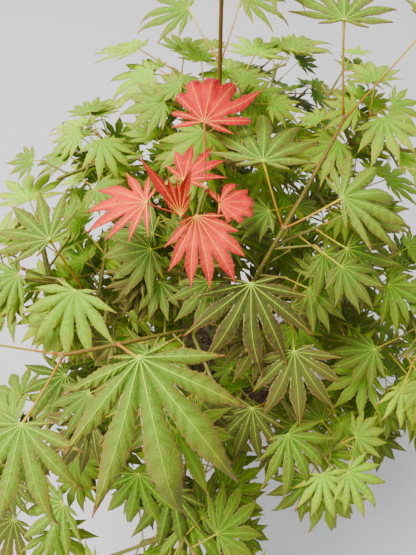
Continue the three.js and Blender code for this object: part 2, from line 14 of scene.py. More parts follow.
import bpy
import numpy as np
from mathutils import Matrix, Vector

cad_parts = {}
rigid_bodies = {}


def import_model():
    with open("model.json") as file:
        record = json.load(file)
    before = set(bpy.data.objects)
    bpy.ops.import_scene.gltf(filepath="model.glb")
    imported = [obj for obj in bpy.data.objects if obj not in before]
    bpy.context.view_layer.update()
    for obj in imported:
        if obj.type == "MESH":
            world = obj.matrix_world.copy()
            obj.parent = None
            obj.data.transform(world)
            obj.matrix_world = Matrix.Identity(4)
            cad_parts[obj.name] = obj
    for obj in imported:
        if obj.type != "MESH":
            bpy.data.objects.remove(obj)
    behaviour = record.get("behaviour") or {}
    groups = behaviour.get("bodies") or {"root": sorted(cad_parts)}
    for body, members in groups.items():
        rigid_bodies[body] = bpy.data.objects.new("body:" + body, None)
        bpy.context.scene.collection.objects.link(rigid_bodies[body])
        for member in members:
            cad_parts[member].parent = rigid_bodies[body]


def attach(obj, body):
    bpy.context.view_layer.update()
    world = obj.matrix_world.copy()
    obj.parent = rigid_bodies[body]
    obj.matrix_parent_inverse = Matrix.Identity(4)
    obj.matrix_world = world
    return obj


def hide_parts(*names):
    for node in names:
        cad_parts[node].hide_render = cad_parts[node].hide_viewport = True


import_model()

logging.basicConfig(level=logging.INFO, format="%(name)s: %(message)s")
log = logging.getLogger("maple")

MM = 0.001
PHOTO_HEIGHT = 555
FOCAL_PIXELS = 417.0
SENSOR_MM = 36.0
LOBES = np.arange(9) - 4
UP = np.array([0, 0, 1.0])

Array = np.ndarray
Pair = tuple[float, float]
Triple = tuple[float, float, float]


class Tint(Enum):
    """The age of a leaf and the light it stands in, which set its blade's colour: partly painted light and
    shade.
    """

    CORAL = "coral"
    BRONZE = "bronze"
    OLIVE = "olive"
    DEEP = "deep"
    MID = "mid"
    LIGHT = "light"
    LIME = "lime"


class Shape(Enum):
    """The outline of a blade: grown leaves by rank, and shown leaves by how far they have opened."""

    MATURE = "mature"
    TURNED = "turned"
    LONG = "long"
    GROWN = "grown"
    FINE = "fine"
    YOUNG = "young"
    SPREAD = "spread"
    FAN = "fan"
    HANGING = "hanging"
    FOLDED = "folded"
    HALF = "half"


@dataclass(frozen=True)
class Bough:
    """A limb that leaves its parent partway along and ends at its tip, where its mass of leaves starts."""

    name: str
    parent: str
    along: float
    tip: Triple
    bow: float
    radii: Pair


@dataclass(frozen=True)
class ShownLeaf:
    """A leaf that the photograph shows.

    It stands at a share along its mass's stem. Its stalk has a bearing, rise and length, and its blade a
    bearing, dip, roll and sag.
    """

    along: float
    stalk: Triple
    blade: tuple[float, float, float, float]
    size: float
    tint: Tint
    shape: Shape = Shape.MATURE

    def leaf_on(self, stem: Array) -> "Leaf":
        """The leaf itself, with its foot on the stem."""
        return Leaf(point_on(stem, self.along), self.stalk, self.blade, self.size, self.tint, self.shape)


@dataclass(frozen=True)
class Mass:
    """A mass of leaves: the sweep of its stem, the shares of it where sprigs grow, and its leaves' habit."""

    name: str
    bearing: Pair
    rise: Pair
    length: float
    sprigs: tuple[float, ...]
    size: float
    dip: Pair
    twig: Pair
    ceiling: float
    tint: Tint
    seed: int
    phase: float = 0
    tip_leaves: bool = True
    shown: tuple[ShownLeaf, ...] = ()


BOUGHS = (
    Bough("leader", "trunk", 1.0, (-8, 90, 505), 0.12, (5.0, 2.6)),
    Bough("coral", "trunk", 1.0, (-32, -2, 485), 0.20, (4.2, 2.2)),
    Bough("right_top", "coral", 0.5, (9, -11, 482), 0.25, (3.0, 2.2)),
    Bough("left_front", "trunk", 0.86, (-30, -34, 480), 0.32, (4.2, 2.3)),
    Bough("left", "trunk", 0.72, (-77, -7, 435), 0.22, (4.2, 2.2)),
    Bough("left_low", "left", 0.42, (-82, -58, 390), 0.20, (3.0, 2.0)),
    Bough("front_low", "left_front", 0.34, (-31, -94, 390), 0.22, (3.2, 2.0)),
    Bough("front_right", "trunk", 0.6, (43, -61, 379), 0.22, (4.0, 2.1)),
    Bough("right", "trunk", 0.72, (74, 13, 396), 0.22, (4.0, 2.1)),
    Bough("right_back", "trunk", 0.86, (56, 62, 438), 0.22, (3.8, 2.1)),
    Bough("back", "leader", 0.3, (20, 126, 427), 0.22, (3.0, 2.0)),
    Bough("left_back", "trunk", 0.6, (-53, 66, 425), 0.25, (3.8, 2.1)),
    Bough("back_low", "trunk", 0.5, (-20, 88, 329), 0.20, (3.4, 2.0)),
    Bough("right_low", "trunk", 0.44, (78, -24, 319), 0.20, (3.4, 2.0)),
    Bough("left_lower", "trunk", 0.44, (-76, 23, 315), 0.20, (3.4, 2.0)),
)

THREE_SPRIGS, TWO_SPRIGS = (0.12, 0.45, 0.78), (0.2, 0.62)
SHORT_TWIGS, LONG_TWIGS = (36, 56), (40, 60)
MASSES = (
    Mass("leader", (100, 90), (66, 92), 172, (0.1, 0.34), 46, (-4, 14), LONG_TWIGS,
         600, Tint.LIGHT, 4, phase=10,
         shown=(
             ShownLeaf(0.62, (115, 8, 52), (174, 2, 8, 0.15), 43, Tint.MID),
             ShownLeaf(0.62, (76, 4, 66), (10, 2, -6, 0.15), 43, Tint.MID),
             ShownLeaf(0.4, (58, 16, 54), (80, 4, 0, 0.2), 44, Tint.LIME),
             ShownLeaf(0.3, (128, 12, 40), (180, 8, 0, 0.2), 50, Tint.DEEP),
         )),
    Mass("coral", (100, 60), (95, 50), 112, (0.06, 0.34), 52, (5, 20), (30, 40),
         550, Tint.DEEP, 25, phase=40, tip_leaves=False,
         shown=(
             ShownLeaf(1, (91, 26, 42), (80, -16, 0, 0.1), 36, Tint.CORAL, Shape.FAN),
             ShownLeaf(0.8, (178, 30, 36), (190, 8, -10, 0.22), 46, Tint.CORAL, Shape.SPREAD),
             ShownLeaf(0.8, (233, 58, 28), (92, -56, 12, -0.15), 42, Tint.CORAL, Shape.FOLDED),
             ShownLeaf(1, (318, -24, 13), (14, 4, 0, 0.25), 27, Tint.CORAL, Shape.HALF),
             ShownLeaf(0.8, (272, 66, 18), (284, 22, 0, 0.12), 50, Tint.CORAL, Shape.HANGING),
         )),
    Mass("right_top", (46, 62), (82, 8), 170, (0.1, 0.42), 54, (5, 20), LONG_TWIGS,
         560, Tint.DEEP, 13, tip_leaves=False,
         shown=(
             ShownLeaf(0.5, (126, 54, 52), (84, 4, 0, 0.15), 62, Tint.OLIVE),
             ShownLeaf(0.5, (10, 42, 45), (354, 12, 0, 0.2), 60, Tint.OLIVE, Shape.TURNED),
             ShownLeaf(1, (129, 68, 62), (82, 0, 0, 0.12), 56, Tint.OLIVE),
             ShownLeaf(1, (37, 40, 72), (27, 6, 0, 0.15), 54, Tint.OLIVE),
             ShownLeaf(0.2, (250, 64, 43), (270, 20, 0, 0.2), 70, Tint.BRONZE),
         )),
    Mass("left_front", (222, 192), (74, 6), 122, (0.1, 0.4), 54, (5, 20), LONG_TWIGS,
         545, Tint.DEEP, 26, tip_leaves=False,
         shown=(
             ShownLeaf(0.72, (318, 60, 62), (284, 12, 0, 0.14), 78, Tint.OLIVE, Shape.LONG),
             ShownLeaf(1, (257, 26, 48), (258, 15, 0, 0.18), 62, Tint.OLIVE),
             ShownLeaf(1, (177, 30, 42), (174, 6, 0, 0.2), 51, Tint.OLIVE),
         )),
    Mass("left", (190, 170), (70, 40), 130, THREE_SPRIGS, 50, (5, 22), (40, 62),
         540, Tint.LIGHT, 12, tip_leaves=False,
         shown=(
             ShownLeaf(0.62, (125, 68, 58), (138, 4, 0, 0.1), 56, Tint.OLIVE),
             ShownLeaf(0.8, (178, 28, 28), (206, 6, 0, 0.2), 43, Tint.MID),
             ShownLeaf(0.5, (265, 74, 62), (252, 22, 0, 0.18), 56, Tint.LIGHT),
         )),
    Mass("left_low", (226, 222), (40, 20), 120, THREE_SPRIGS, 54, (8, 28), SHORT_TWIGS,
         470, Tint.MID, 9,
         shown=(
             ShownLeaf(0.6, (107, 50, 54), (222, 12, 0, 0.2), 54, Tint.DEEP),
             ShownLeaf(1, (314, 10, 42), (220, 15, 0, 0.2), 52, Tint.MID),
         )),
    Mass("front_low", (258, 262), (36, 14), 118, THREE_SPRIGS, 54, (8, 28), SHORT_TWIGS,
         480, Tint.MID, 25,
         shown=(
             ShownLeaf(0.5, (170, 62, 64), (258, 24, 0, 0.25), 56, Tint.MID),
             ShownLeaf(1, (2, -28, 54), (280, 15, 0, 0.2), 48, Tint.LIGHT),
         )),
    Mass("front_right", (296, 300), (48, 10), 130, THREE_SPRIGS, 52, (8, 28), SHORT_TWIGS,
         470, Tint.MID, 16,
         shown=(
             ShownLeaf(0.5, (192, 62, 54), (300, 15, 0, 0.2), 54, Tint.MID),
             ShownLeaf(1, (108, 26, 25), (318, 10, 0, 0.2), 44, Tint.LIGHT),
             ShownLeaf(0.8, (192, 26, 13), (286, 15, 0, 0.2), 44, Tint.LIME),
         )),
    Mass("right", (352, 335), (56, 14), 130, THREE_SPRIGS, 48, (8, 26), SHORT_TWIGS,
         500, Tint.MID, 26,
         shown=(
             ShownLeaf(1, (240, -10, 66), (294, 15, 0, 0.2), 42, Tint.LIME),
             ShownLeaf(0.75, (163, 64, 46), (310, 10, 0, 0.2), 43, Tint.MID),
             ShownLeaf(0.3, (271, 38, 68), (8, 10, 0, 0.2), 40, Tint.LIGHT),
         )),
    Mass("right_back", (48, 40), (76, 56), 150, THREE_SPRIGS, 42, (2, 20), SHORT_TWIGS,
         610, Tint.LIGHT, 21,
         shown=(
             ShownLeaf(0.05, (287, 48, 72), (303, 15, 0, 0.22), 52, Tint.LIGHT),
         )),
    Mass("back", (78, 70), (56, 40), 135, TWO_SPRIGS, 44, (4, 24), SHORT_TWIGS,
         590, Tint.MID, 23),
    Mass("left_back", (134, 150), (74, 50), 145, THREE_SPRIGS, 42, (2, 20), SHORT_TWIGS,
         590, Tint.LIGHT, 15),
    Mass("back_low", (106, 100), (46, 24), 120, TWO_SPRIGS, 50, (10, 32), SHORT_TWIGS,
         600, Tint.MID, 14),
    Mass("right_low", (346, 352), (44, 20), 112, TWO_SPRIGS, 50, (10, 32), SHORT_TWIGS,
         600, Tint.MID, 2),
    Mass("left_lower", (168, 176), (44, 20), 116, TWO_SPRIGS, 50, (10, 32), SHORT_TWIGS,
         600, Tint.MID, 16),
)

EXTRA_LEAVES = (
    ("coral", ShownLeaf(1, (142, -19, 19), (55, -8, 8, 0.15), 36, Tint.CORAL, Shape.YOUNG)),
    ("front_right", ShownLeaf(0.15, (207, 58, 70), (250, 10, 0, 0.2), 52, Tint.BRONZE)),
    ("front_right", ShownLeaf(0.02, (245, 25, 26), (250, 30, 0, 0.2), 52, Tint.DEEP)),
    ("front_low", ShownLeaf(0.35, (248, 66, 57), (255, 15, 0, 0.2), 54, Tint.DEEP)),
    ("front_low", ShownLeaf(0.55, (287, 48, 34), (285, 15, 0, 0.2), 54, Tint.MID)),
    ("front_low", ShownLeaf(0.15, (275, 20, 47), (285, 30, 0, 0.2), 54, Tint.DEEP)),
    ("left_back", ShownLeaf(0.2, (90, 57, 61), (160, 20, 0, 0.2), 54, Tint.MID)),
    ("left_back", ShownLeaf(0.2, (113, 17, 53), (200, 5, 0, 0.2), 54, Tint.DEEP)),
)

MASS_NODES = [f"leaves_{mass.name}" for mass in MASSES]


class Dice:
    """A repeatable source of numbers between two limits."""

    def __init__(self, seed: int) -> None:
        """Starts the row of numbers at a seed."""
        self.state = seed

    def roll(self, low: float, high: float) -> float:
        """The next number between low and high."""
        self.state = (self.state * 1664525 + 1013904223) % 4294967296
        return low + (high - low) * self.state / 4294967296

    def about(self, span: float) -> float:
        """The next number between minus and plus a span."""
        return self.roll(-span, span)


def circle(sides: int) -> Array:
    """So many even angles round a circle, in radians."""
    return 2 * np.pi * np.arange(sides) / sides


def add_object(name: str, data: bpy.types.ID) -> bpy.types.Object:
    """A new object that stands at the origin of the scene."""
    obj = bpy.data.objects.new(name, data)
    bpy.context.scene.collection.objects.link(obj)
    return obj


def unit(vectors: Array) -> Array:
    """The vectors along the last axis, each divided by its length."""
    return vectors / np.linalg.norm(vectors, axis=-1, keepdims=True)


def direction(bearing: float, rise: float) -> Array:
    """The unit vector of a bearing and a rise in degrees."""
    b, e = np.radians(bearing), np.radians(rise)
    return np.array([np.cos(e) * np.cos(b), np.cos(e) * np.sin(b), np.sin(e)])


def angles_of(heading: Array) -> Pair:
    """The bearing and rise, in degrees, of a vector."""
    return (float(np.degrees(np.arctan2(heading[1], heading[0]))),
            float(np.degrees(np.arcsin(heading[2] / np.linalg.norm(heading)))))


def mix(pair: Pair, share: float) -> float:
    """The value at a share of the way from the first of a pair to the second."""
    return pair[0] + (pair[1] - pair[0]) * share


def sweep(start: Array, bearing: Pair, rise: Pair, length: float, steps: int = 16) -> Array:
    """A path whose bearing and rise change evenly along its length.

    Args:
        start: the first point.
        bearing: the bearing at the start and at the end.
        rise: the rise at the start and at the end.
        length: the length along the path.
        steps: how many equal straight steps it has.

    Returns:
        steps + 1 points, each the last one plus a step at the bearing and rise of the step's middle.
    """
    shares = (np.arange(steps) + 0.5) / steps
    moves = np.stack([direction(mix(bearing, s), mix(rise, s)) for s in shares]) * length / steps
    return start + np.vstack([np.zeros(3), np.cumsum(moves, axis=0)])


def bend(start: Array, tip: Array, bow: float, steps: int = 16) -> Array:
    """A bough's path, which leaves its parent outwards and turns up to its tip.

    Args:
        start: the point on the parent.
        tip: the bough's tip.
        bow: how far the middle stands out, as a share of the way across.
        steps: how many steps it has.

    Returns:
        The points of (1-t)^2 start + 2t(1-t) control + t^2 tip, for even t.
    """
    control = start + (tip - start) * np.array([0.5 + bow, 0.5 + bow, 0.5 - bow])
    t = np.linspace(0, 1, steps + 1)[:, None]
    return (1 - t) ** 2 * start + 2 * t * (1 - t) * control + t * t * tip


def point_on(path: Array, share: float) -> Array:
    """The point at a share of the path's steps."""
    place = share * (len(path) - 1)
    i = min(int(place), len(path) - 2)
    return path[i] + (path[i + 1] - path[i]) * (place - i)


def heading_on(path: Array, share: float) -> Array:
    """The unit heading of the step at a share of the path."""
    i = min(int(share * (len(path) - 1)), len(path) - 2)
    return unit(path[i + 1] - path[i])


def resample(path: Array, spacing: float = 5.0) -> Array:
    """Points on the path about a spacing apart."""
    length = np.linalg.norm(np.diff(path, axis=0), axis=1).sum()
    count = max(2, int(np.ceil(length / spacing)))
    return np.stack([point_on(path, i / count) for i in range(count + 1)])


def lobe_reach(lobe: Array | float) -> Array | float:
    """How far a lobe reaches, as a share of the middle one: 1 - 0.045 lobe^2."""
    return 1 - 0.045 * lobe * lobe


@dataclass
class Habit:
    """The clearances and shares that the growth rule keeps."""

    lobe_turn: float = 26.0
    reach: float = 40.0
    lowest: float = 215.0
    marks: tuple[float, ...] = (0.1, 0.4, 0.7, 1.0)
    blade_mark: float = 0.4
    tries: int = 2
    pair_gap: float = 0.07
    pair_at: float = 0.85
    blades: float = 3.5
    own_blades: float = 1.2
    rods: float = 3.0
    own_rods: float = 1.0
    margin: float = 2.0
    overhang: float = 1.04
    stem_radii: Pair = (1.9, 1.2)
    twig_radii: Pair = (1.4, 1.2)
    fine_radii: Pair = (0.95, 0.7)
    stalk_radius: float = 0.8
    seat_gap: float = 0.3
    feelers: tuple[float, ...] = (0.35, 0.7, 1.0)
    turn_chance: float = 16
    rise_chance: Pair = (-12, 22)
    size_chance: Pair = (0.85, 1.08)
    blade_turn: float = 10
    blade_roll: float = 16
    blade_sag: Pair = (0.08, 0.24)
    sprig_turn: float = 45
    side_turn: float = 15
    side_share: Pair = (0.4, 0.8)
    upright: float = 0.2
    level_share: float = 0.7
    lift: float = 3
    stalk_share: Pair = (0.45, 0.8)
    pair_rise: float = 10
    pair_spreads: tuple[float, ...] = (0, 64, -64)
    middle_rise: float = 8
    middle_spreads: tuple[float, ...] = (78, -78)
    middle_stalk: Pair = (0.35, 0.7)
    middle_size: float = 0.92
    tip_rise: float = 25
    tip_turns: tuple[float, ...] = (45, 135, 225, 315)
    tip_stalk: Pair = (0.4, 0.7)
    tip_size: float = 0.85


@dataclass
class Finer:
    """Where the finer twigs stand, and their habit."""

    twig_shares: tuple[float, ...] = (0.2, 0.36, 0.52, 0.68, 0.84)
    twig_turns: Pair = (58, -58)
    stem_shares: Triple = (0.05, 0.98, 0.05)
    limb_shares: Triple = (0.4, 0.98, 0.06)
    wind: float = 900
    turns: Triple = (0, 120, 240)
    rise: float = 18
    length: Pair = (10, 30)
    turn_chance: float = 14
    rise_chance: Pair = (0, 24)
    level_share: float = 0.5
    spreads: tuple[float, ...] = (0, 62, -62, 130)
    leaf_rise: float = 8
    leaf_size: Pair = (0.5, 0.86)
    stalk_share: Pair = (0.3, 0.75)


HABIT = Habit()
FINER = Finer()


class Leaf:
    """A leaf: its stalk from the wood to the joint, and its lobed blade, bent down from the joint."""

    def __init__(self, foot: Array, stalk: Triple, blade: tuple[float, float, float, float], size: float,
                 tint: Tint, shape: Shape = Shape.GROWN) -> None:
        """Sets the leaf out.

        Args:
            foot: where the stalk leaves the wood.
            stalk: the stalk's bearing, rise and length.
            blade: the blade's bearing, dip, roll and sag.
            size: the length of the middle lobe.
            tint: the colour of the blade.
            shape: its outline.
        """
        self.foot, self.size, self.tint, self.shape, self.sag = foot, size, tint, shape, blade[3]
        self.joint = foot + direction(stalk[0], stalk[1]) * stalk[2]
        self.ahead = direction(blade[0], -blade[1])
        level = direction(blade[0] + 90, 0)
        over = np.cross(self.ahead, level)
        roll = np.radians(blade[2])
        self.left = level * np.cos(roll) - over * np.sin(roll)
        self.face = over * np.cos(roll) + level * np.sin(roll)
        self.mass = -1
        self.shown = shape not in (Shape.GROWN, Shape.FINE)
        shares = np.tile(HABIT.feelers, len(LOBES))
        lobes = np.repeat(LOBES, len(HABIT.feelers))
        around = self.place(lobes * HABIT.lobe_turn, lobe_reach(lobes) * shares)
        self.feelers = np.vstack([self.joint, around])
        self.rod = foot + (self.joint - foot) * np.linspace(0, 1, 11)[:, None]

    def place(self, angle: Array | float, share: Array | float) -> Array:
        """Points of the blade at an angle from its middle lobe and a share of its length."""
        a, r = np.radians(angle), np.asarray(share) * self.size
        return (self.joint + np.multiply.outer(r * np.cos(a), self.ahead)
                + np.multiply.outer(r * np.sin(a), self.left)
                - np.multiply.outer(self.sag * r * r / self.size, self.face))


class Ledger:
    """Every leaf and rod that stands so far, in arrays, so that a new one is tested against all at once."""

    ROD_POINTS = 52
    FEELERS = 1 + len(LOBES) * len(HABIT.feelers)
    ROD_REACH = 20
    BLADE_REACH = 80
    BLADE_BOX = 1.1

    def __init__(self, room: int = 2400) -> None:
        """Makes room for so many leaves and rods."""
        self.leaves: list[Leaf] = []
        self.spots = np.zeros((room, 4, 3))
        self.sizes = np.zeros((room, 2))
        self.owners = np.zeros(room, int)
        self.feelers = np.zeros((room, self.FEELERS, 3))
        self.rods = np.zeros((room, self.ROD_POINTS, 3))
        self.rod_ends = np.zeros((room, 2, 3))
        self.rod_radii = np.zeros(room)
        self.rod_owners = np.zeros(room, int)
        self.rod_count = 0

    def add_leaf(self, leaf: Leaf) -> None:
        """Enters a leaf and its stalk."""
        n = len(self.leaves)
        self.spots[n] = leaf.joint, leaf.ahead, leaf.left, leaf.face
        self.sizes[n] = leaf.size, leaf.sag
        self.owners[n] = leaf.mass
        self.feelers[n] = leaf.feelers
        self.leaves.append(leaf)
        self.add_rod(leaf.rod[:-1], HABIT.stalk_radius, leaf.mass)

    def add_rod(self, points: Array, radius: float, owner: int) -> None:
        """Enters a rod by its points, the last one repeated to fill its row."""
        n = self.rod_count
        self.rods[n] = points[np.minimum(np.arange(self.ROD_POINTS), len(points) - 1)]
        self.rod_ends[n] = points.min(0), points.max(0)
        self.rod_radii[n], self.rod_owners[n] = radius, owner
        self.rod_count += 1

    def rods_near(self, low: Array, high: Array) -> Array:
        """Which rods reach into a box."""
        ends = self.rod_ends[:self.rod_count]
        return (ends[:, 1] > low).all(1) & (ends[:, 0] < high).all(1)

    def drop_rod(self) -> None:
        """Takes the last rod out again."""
        self.rod_count -= 1

    @staticmethod
    def clears(spot: Array, size: Array, points: Array, gap: Array | float) -> Array:
        """Whether all points over or under each blade lie on one side of it, further than the gap.

        Args:
            spot: joint, ahead, left and face of each blade, on the last but one axis.
            size: the length and sag of each blade, on the last axis.
            points: the points to test against each blade, on the last but one axis.
            gap: the least distance, for each blade or for all.

        Returns:
            One truth value for each blade. A point's height over the bent blade is its distance along the
            face plus sag times its reach squared over the blade's length.
        """
        away = points - spot[..., None, 0, :]
        along, aside, up = ((away * spot[..., None, i, :]).sum(-1) for i in (1, 2, 3))
        reach = np.hypot(along, aside)
        lobe = np.degrees(np.arctan2(aside, along)) / HABIT.lobe_turn
        length, sag = size[..., None, 0], size[..., None, 1]
        over = reach < HABIT.overhang * length * lobe_reach(lobe) + HABIT.margin
        height = up + sag * reach * reach / length
        lowest = np.where(over, height, np.inf).min(-1)
        highest = np.where(over, height, -np.inf).max(-1)
        return (lowest > gap) | (highest < -gap)

    def rod_clears(self, points: Array, radius: float, owner: int) -> bool:
        """Whether a new twig or stalk keeps off the other masses' rods and off every blade.

        Args:
            points: the new rod's points.
            radius: its radius.
            owner: the number of its mass.

        Returns:
            True if nothing is too near.
        """
        n = self.rod_count
        rods, radii = self.rods[:n], self.rod_radii[:n]
        near = self.rods_near(points.min(0) - self.ROD_REACH, points.max(0) + self.ROD_REACH)
        near &= self.rod_owners[:n] != owner
        if near.any():
            apart = np.linalg.norm(rods[near][:, :, None] - points[None, None], axis=3).min((1, 2))
            if (apart < radius + radii[near] + HABIT.rods).any():
                return False
        m = len(self.leaves)
        near = np.abs(self.spots[:m, 0] - points[-1]).max(1) < self.sizes[:m, 0] + self.BLADE_REACH
        gap = radius + np.where(self.owners[:m][near] == owner, HABIT.own_rods, HABIT.rods)
        return bool(self.clears(self.spots[:m][near], self.sizes[:m][near], points[None], gap).all())

    def blade_clears(self, leaf: Leaf, owner: int) -> bool:
        """Whether a new blade keeps off every other blade and rod; a shown one skips its own mass.

        Args:
            leaf: the new leaf.
            owner: the number of its mass.

        Returns:
            True if nothing is too near.
        """
        m = len(self.leaves)
        spot = np.stack([leaf.joint, leaf.ahead, leaf.left, leaf.face])
        size = np.array([leaf.size, leaf.sag])
        near = np.abs(self.spots[:m, 0] - leaf.joint).max(1) <= self.sizes[:m, 0] + leaf.size
        if leaf.shown:
            near &= self.owners[:m] != owner
        gap = np.where(self.owners[:m][near] == owner, HABIT.own_blades, HABIT.blades)
        if not self.clears(spot, size, self.feelers[:m][near], gap).all():
            return False
        if not self.clears(self.spots[:m][near], self.sizes[:m][near], leaf.feelers[None], gap).all():
            return False
        n = self.rod_count
        around = self.BLADE_BOX * leaf.size
        tested = self.rods_near(leaf.joint - around, leaf.joint + around)
        if leaf.shown:
            tested &= self.rod_owners[:n] != owner
        gap = self.rod_radii[:n] + np.where(self.rod_owners[:n] == owner, HABIT.own_rods, HABIT.rods)
        return bool(self.clears(spot, size, self.rods[:n][tested], gap[tested]).all())


@dataclass
class Growth:
    """The plant's wood and leaves as paths and blades, grown from the tables above."""

    foot: Triple = (4, -6, 176)
    trunk_bearing: Pair = (100, 110)
    trunk_rise: Pair = (82, 88)
    trunk_length: float = 128
    trunk_radii: Pair = (9, 6)
    limbs: dict[str, Array] = field(default_factory=dict)
    stems: list[Array] = field(default_factory=list)
    twigs: list[list[Array]] = field(default_factory=list)
    fine_twigs: list[Array] = field(default_factory=list)
    ledger: Ledger = field(default_factory=Ledger)

    def grow(self) -> None:
        """Lays the limbs and stems, offers the shown leaves, and grows every mass."""
        self.limbs["trunk"] = sweep(np.array(self.foot, float), self.trunk_bearing, self.trunk_rise,
                                    self.trunk_length)
        for bough in BOUGHS:
            start = point_on(self.limbs[bough.parent], bough.along)
            self.limbs[bough.name] = bend(start, np.array(bough.tip, float), bough.bow)
        for mass in MASSES:
            path = self.limbs[mass.name]
            start = path[-1] + heading_on(path, 1) * HABIT.seat_gap
            self.stems.append(sweep(start, mass.bearing, mass.rise, mass.length))
            self.twigs.append([])
        shown = [[row.leaf_on(stem) for row in mass.shown] for mass, stem in zip(MASSES, self.stems)]
        marks = [[point_on(self.stems[k], s) for s in HABIT.marks]
                 + [leaf.place(0, HABIT.blade_mark) for leaf in shown[k]] for k in range(len(MASSES))]
        self.marks = np.array([point for row in marks for point in row])
        self.mark_owners = np.repeat(np.arange(len(MASSES)), [len(row) for row in marks])
        self.ledger.add_rod(resample(self.limbs["trunk"]), self.trunk_radii[0], -1)
        for bough in BOUGHS:
            self.ledger.add_rod(resample(self.limbs[bough.name]), bough.radii[0], -1)
        for k, stem in enumerate(self.stems):
            self.ledger.add_rod(resample(stem), HABIT.stem_radii[0], k)
        for k, leaves in enumerate(shown):
            for leaf in leaves:
                self.offer(leaf, k)
        for k in range(len(MASSES)):
            self.grow_mass(k)

    def in_space(self, points: Array, k: int, ceiling: float) -> bool:
        """Whether the points keep near their own mass's stem and leaves, and under its ceiling."""
        if points[:, 2].min() < HABIT.lowest or points[:, 2].max() > ceiling:
            return False
        apart = np.linalg.norm(points[:, None] - self.marks[None], axis=2)
        own = apart[:, self.mark_owners == k].min(1)
        return not (own > apart[:, self.mark_owners != k].min(1) + HABIT.reach).any()

    def has_room(self, points: Array, radius: float, k: int) -> bool:
        """Whether a twig of a mass keeps in its space and off everything that stands there."""
        return (self.in_space(points, k, MASSES[k].ceiling)
                and self.ledger.rod_clears(points[1:], radius, k))

    def offer(self, leaf: Leaf, k: int, ceiling: float = np.inf) -> bool:
        """Keeps the leaf if it stays in its mass's space and touches nothing, and tells whether it did.

        Args:
            leaf: the leaf.
            k: its mass's number.
            ceiling: the greatest height.

        Returns:
            True if the leaf was kept.
        """
        if not (leaf.shown or self.in_space(leaf.feelers, k, ceiling)):
            return False
        if not self.ledger.rod_clears(leaf.rod[3:], HABIT.stalk_radius, k):
            return False
        if not self.ledger.blade_clears(leaf, k):
            return False
        leaf.mass = k
        self.ledger.add_leaf(leaf)
        return True

    def try_leaf(self, foot: Array, bearing: float, rise: float, size: float, stalk_share: Pair, k: int,
                 dice: Dice, ceiling: float, shape: Shape = Shape.GROWN) -> int:
        """Offers a leaf at a foot, with chance in its angles and sizes, and tells how many were kept.

        Args:
            foot: where the stalk leaves the wood.
            bearing: the stalk's bearing.
            rise: the stalk's rise.
            size: the blade's length.
            stalk_share: the shortest and longest stalk, as shares of the blade's length.
            k: the mass's number.
            dice: the source of chance.
            ceiling: the greatest height.
            shape: the outline of the blade.

        Returns:
            1 or 0.
        """
        mass = MASSES[k]
        for _ in range(HABIT.tries):
            turned = bearing + dice.about(HABIT.turn_chance)
            length = size * dice.roll(*HABIT.size_chance)
            stalk = (turned, rise + dice.roll(*HABIT.rise_chance), length * dice.roll(*stalk_share))
            blade = (turned + dice.about(HABIT.blade_turn), dice.roll(*mass.dip),
                     dice.about(HABIT.blade_roll), dice.roll(*HABIT.blade_sag))
            if self.offer(Leaf(foot, stalk, blade, length, mass.tint, shape), k, ceiling):
                return 1
        return 0

    def grow_sprig(self, k: int, dice: Dice, share: float, turn: float) -> None:
        """Two crossed pairs of twigs on the stem, each twig with leaves at its tip and its middle.

        Args:
            k: the mass's number.
            dice: the source of chance.
            share: where on the stem the first pair stands.
            turn: how far the pairs are turned about the stem, in degrees.
        """
        mass, stem = MASSES[k], self.stems[k]
        heading = heading_on(stem, share)
        level = np.cross(UP, heading)
        across = unit(level) if np.linalg.norm(level) > HABIT.upright else np.array([1.0, 0, 0])
        over = np.cross(heading, across)
        for side in range(4):
            node = point_on(stem, share + HABIT.pair_gap * (side % 2))
            angle = np.radians(mass.phase + turn + 90 * side + dice.about(HABIT.side_turn))
            ahead, aside = HABIT.side_share
            out = unit((across * np.cos(angle) + over * np.sin(angle)) * aside + heading * ahead)
            bearing, rise = angles_of(out)
            lifted = rise * HABIT.level_share + HABIT.lift
            twig = np.array([node, node + direction(bearing, lifted) * dice.roll(*mass.twig)])
            points = resample(twig)
            radius = HABIT.twig_radii[1]
            if not self.has_room(points, radius, k):
                self.try_leaf(node, bearing, rise, mass.size, HABIT.stalk_share, k, dice, mass.ceiling)
                continue
            self.ledger.add_rod(points, radius, k)
            grown = 0
            for spread in HABIT.pair_spreads:
                foot = point_on(twig, 1.0 if spread == 0 else HABIT.pair_at)
                grown += self.try_leaf(foot, bearing + spread, HABIT.pair_rise, mass.size,
                                       HABIT.stalk_share, k, dice, mass.ceiling)
            middle, size = point_on(twig, 0.5), mass.size * HABIT.middle_size
            for spread in HABIT.middle_spreads:
                grown += self.try_leaf(middle, bearing + spread, HABIT.middle_rise, size,
                                       HABIT.middle_stalk, k, dice, mass.ceiling)
            if grown:
                self.twigs[k].append(twig)
            else:
                self.ledger.drop_rod()

    def grow_mass(self, k: int) -> None:
        """Grows one mass from its stem: sprigs at the given shares, and leaves round the stem's tip."""
        mass, stem = MASSES[k], self.stems[k]
        dice = Dice(mass.seed)
        for i, share in enumerate(mass.sprigs):
            self.grow_sprig(k, dice, share, HABIT.sprig_turn * i)
        if mass.tip_leaves:
            bearing, size = angles_of(heading_on(stem, 1))[0], mass.size * HABIT.tip_size
            for turn in HABIT.tip_turns:
                self.try_leaf(stem[-1], bearing + turn, HABIT.tip_rise, size, HABIT.tip_stalk, k, dice,
                              np.inf)

    def add_extra(self) -> None:
        """Offers the leaves that are only in this scene."""
        names = [mass.name for mass in MASSES]
        for name, row in EXTRA_LEAVES:
            k = names.index(name)
            self.offer(row.leaf_on(self.stems[k]), k)

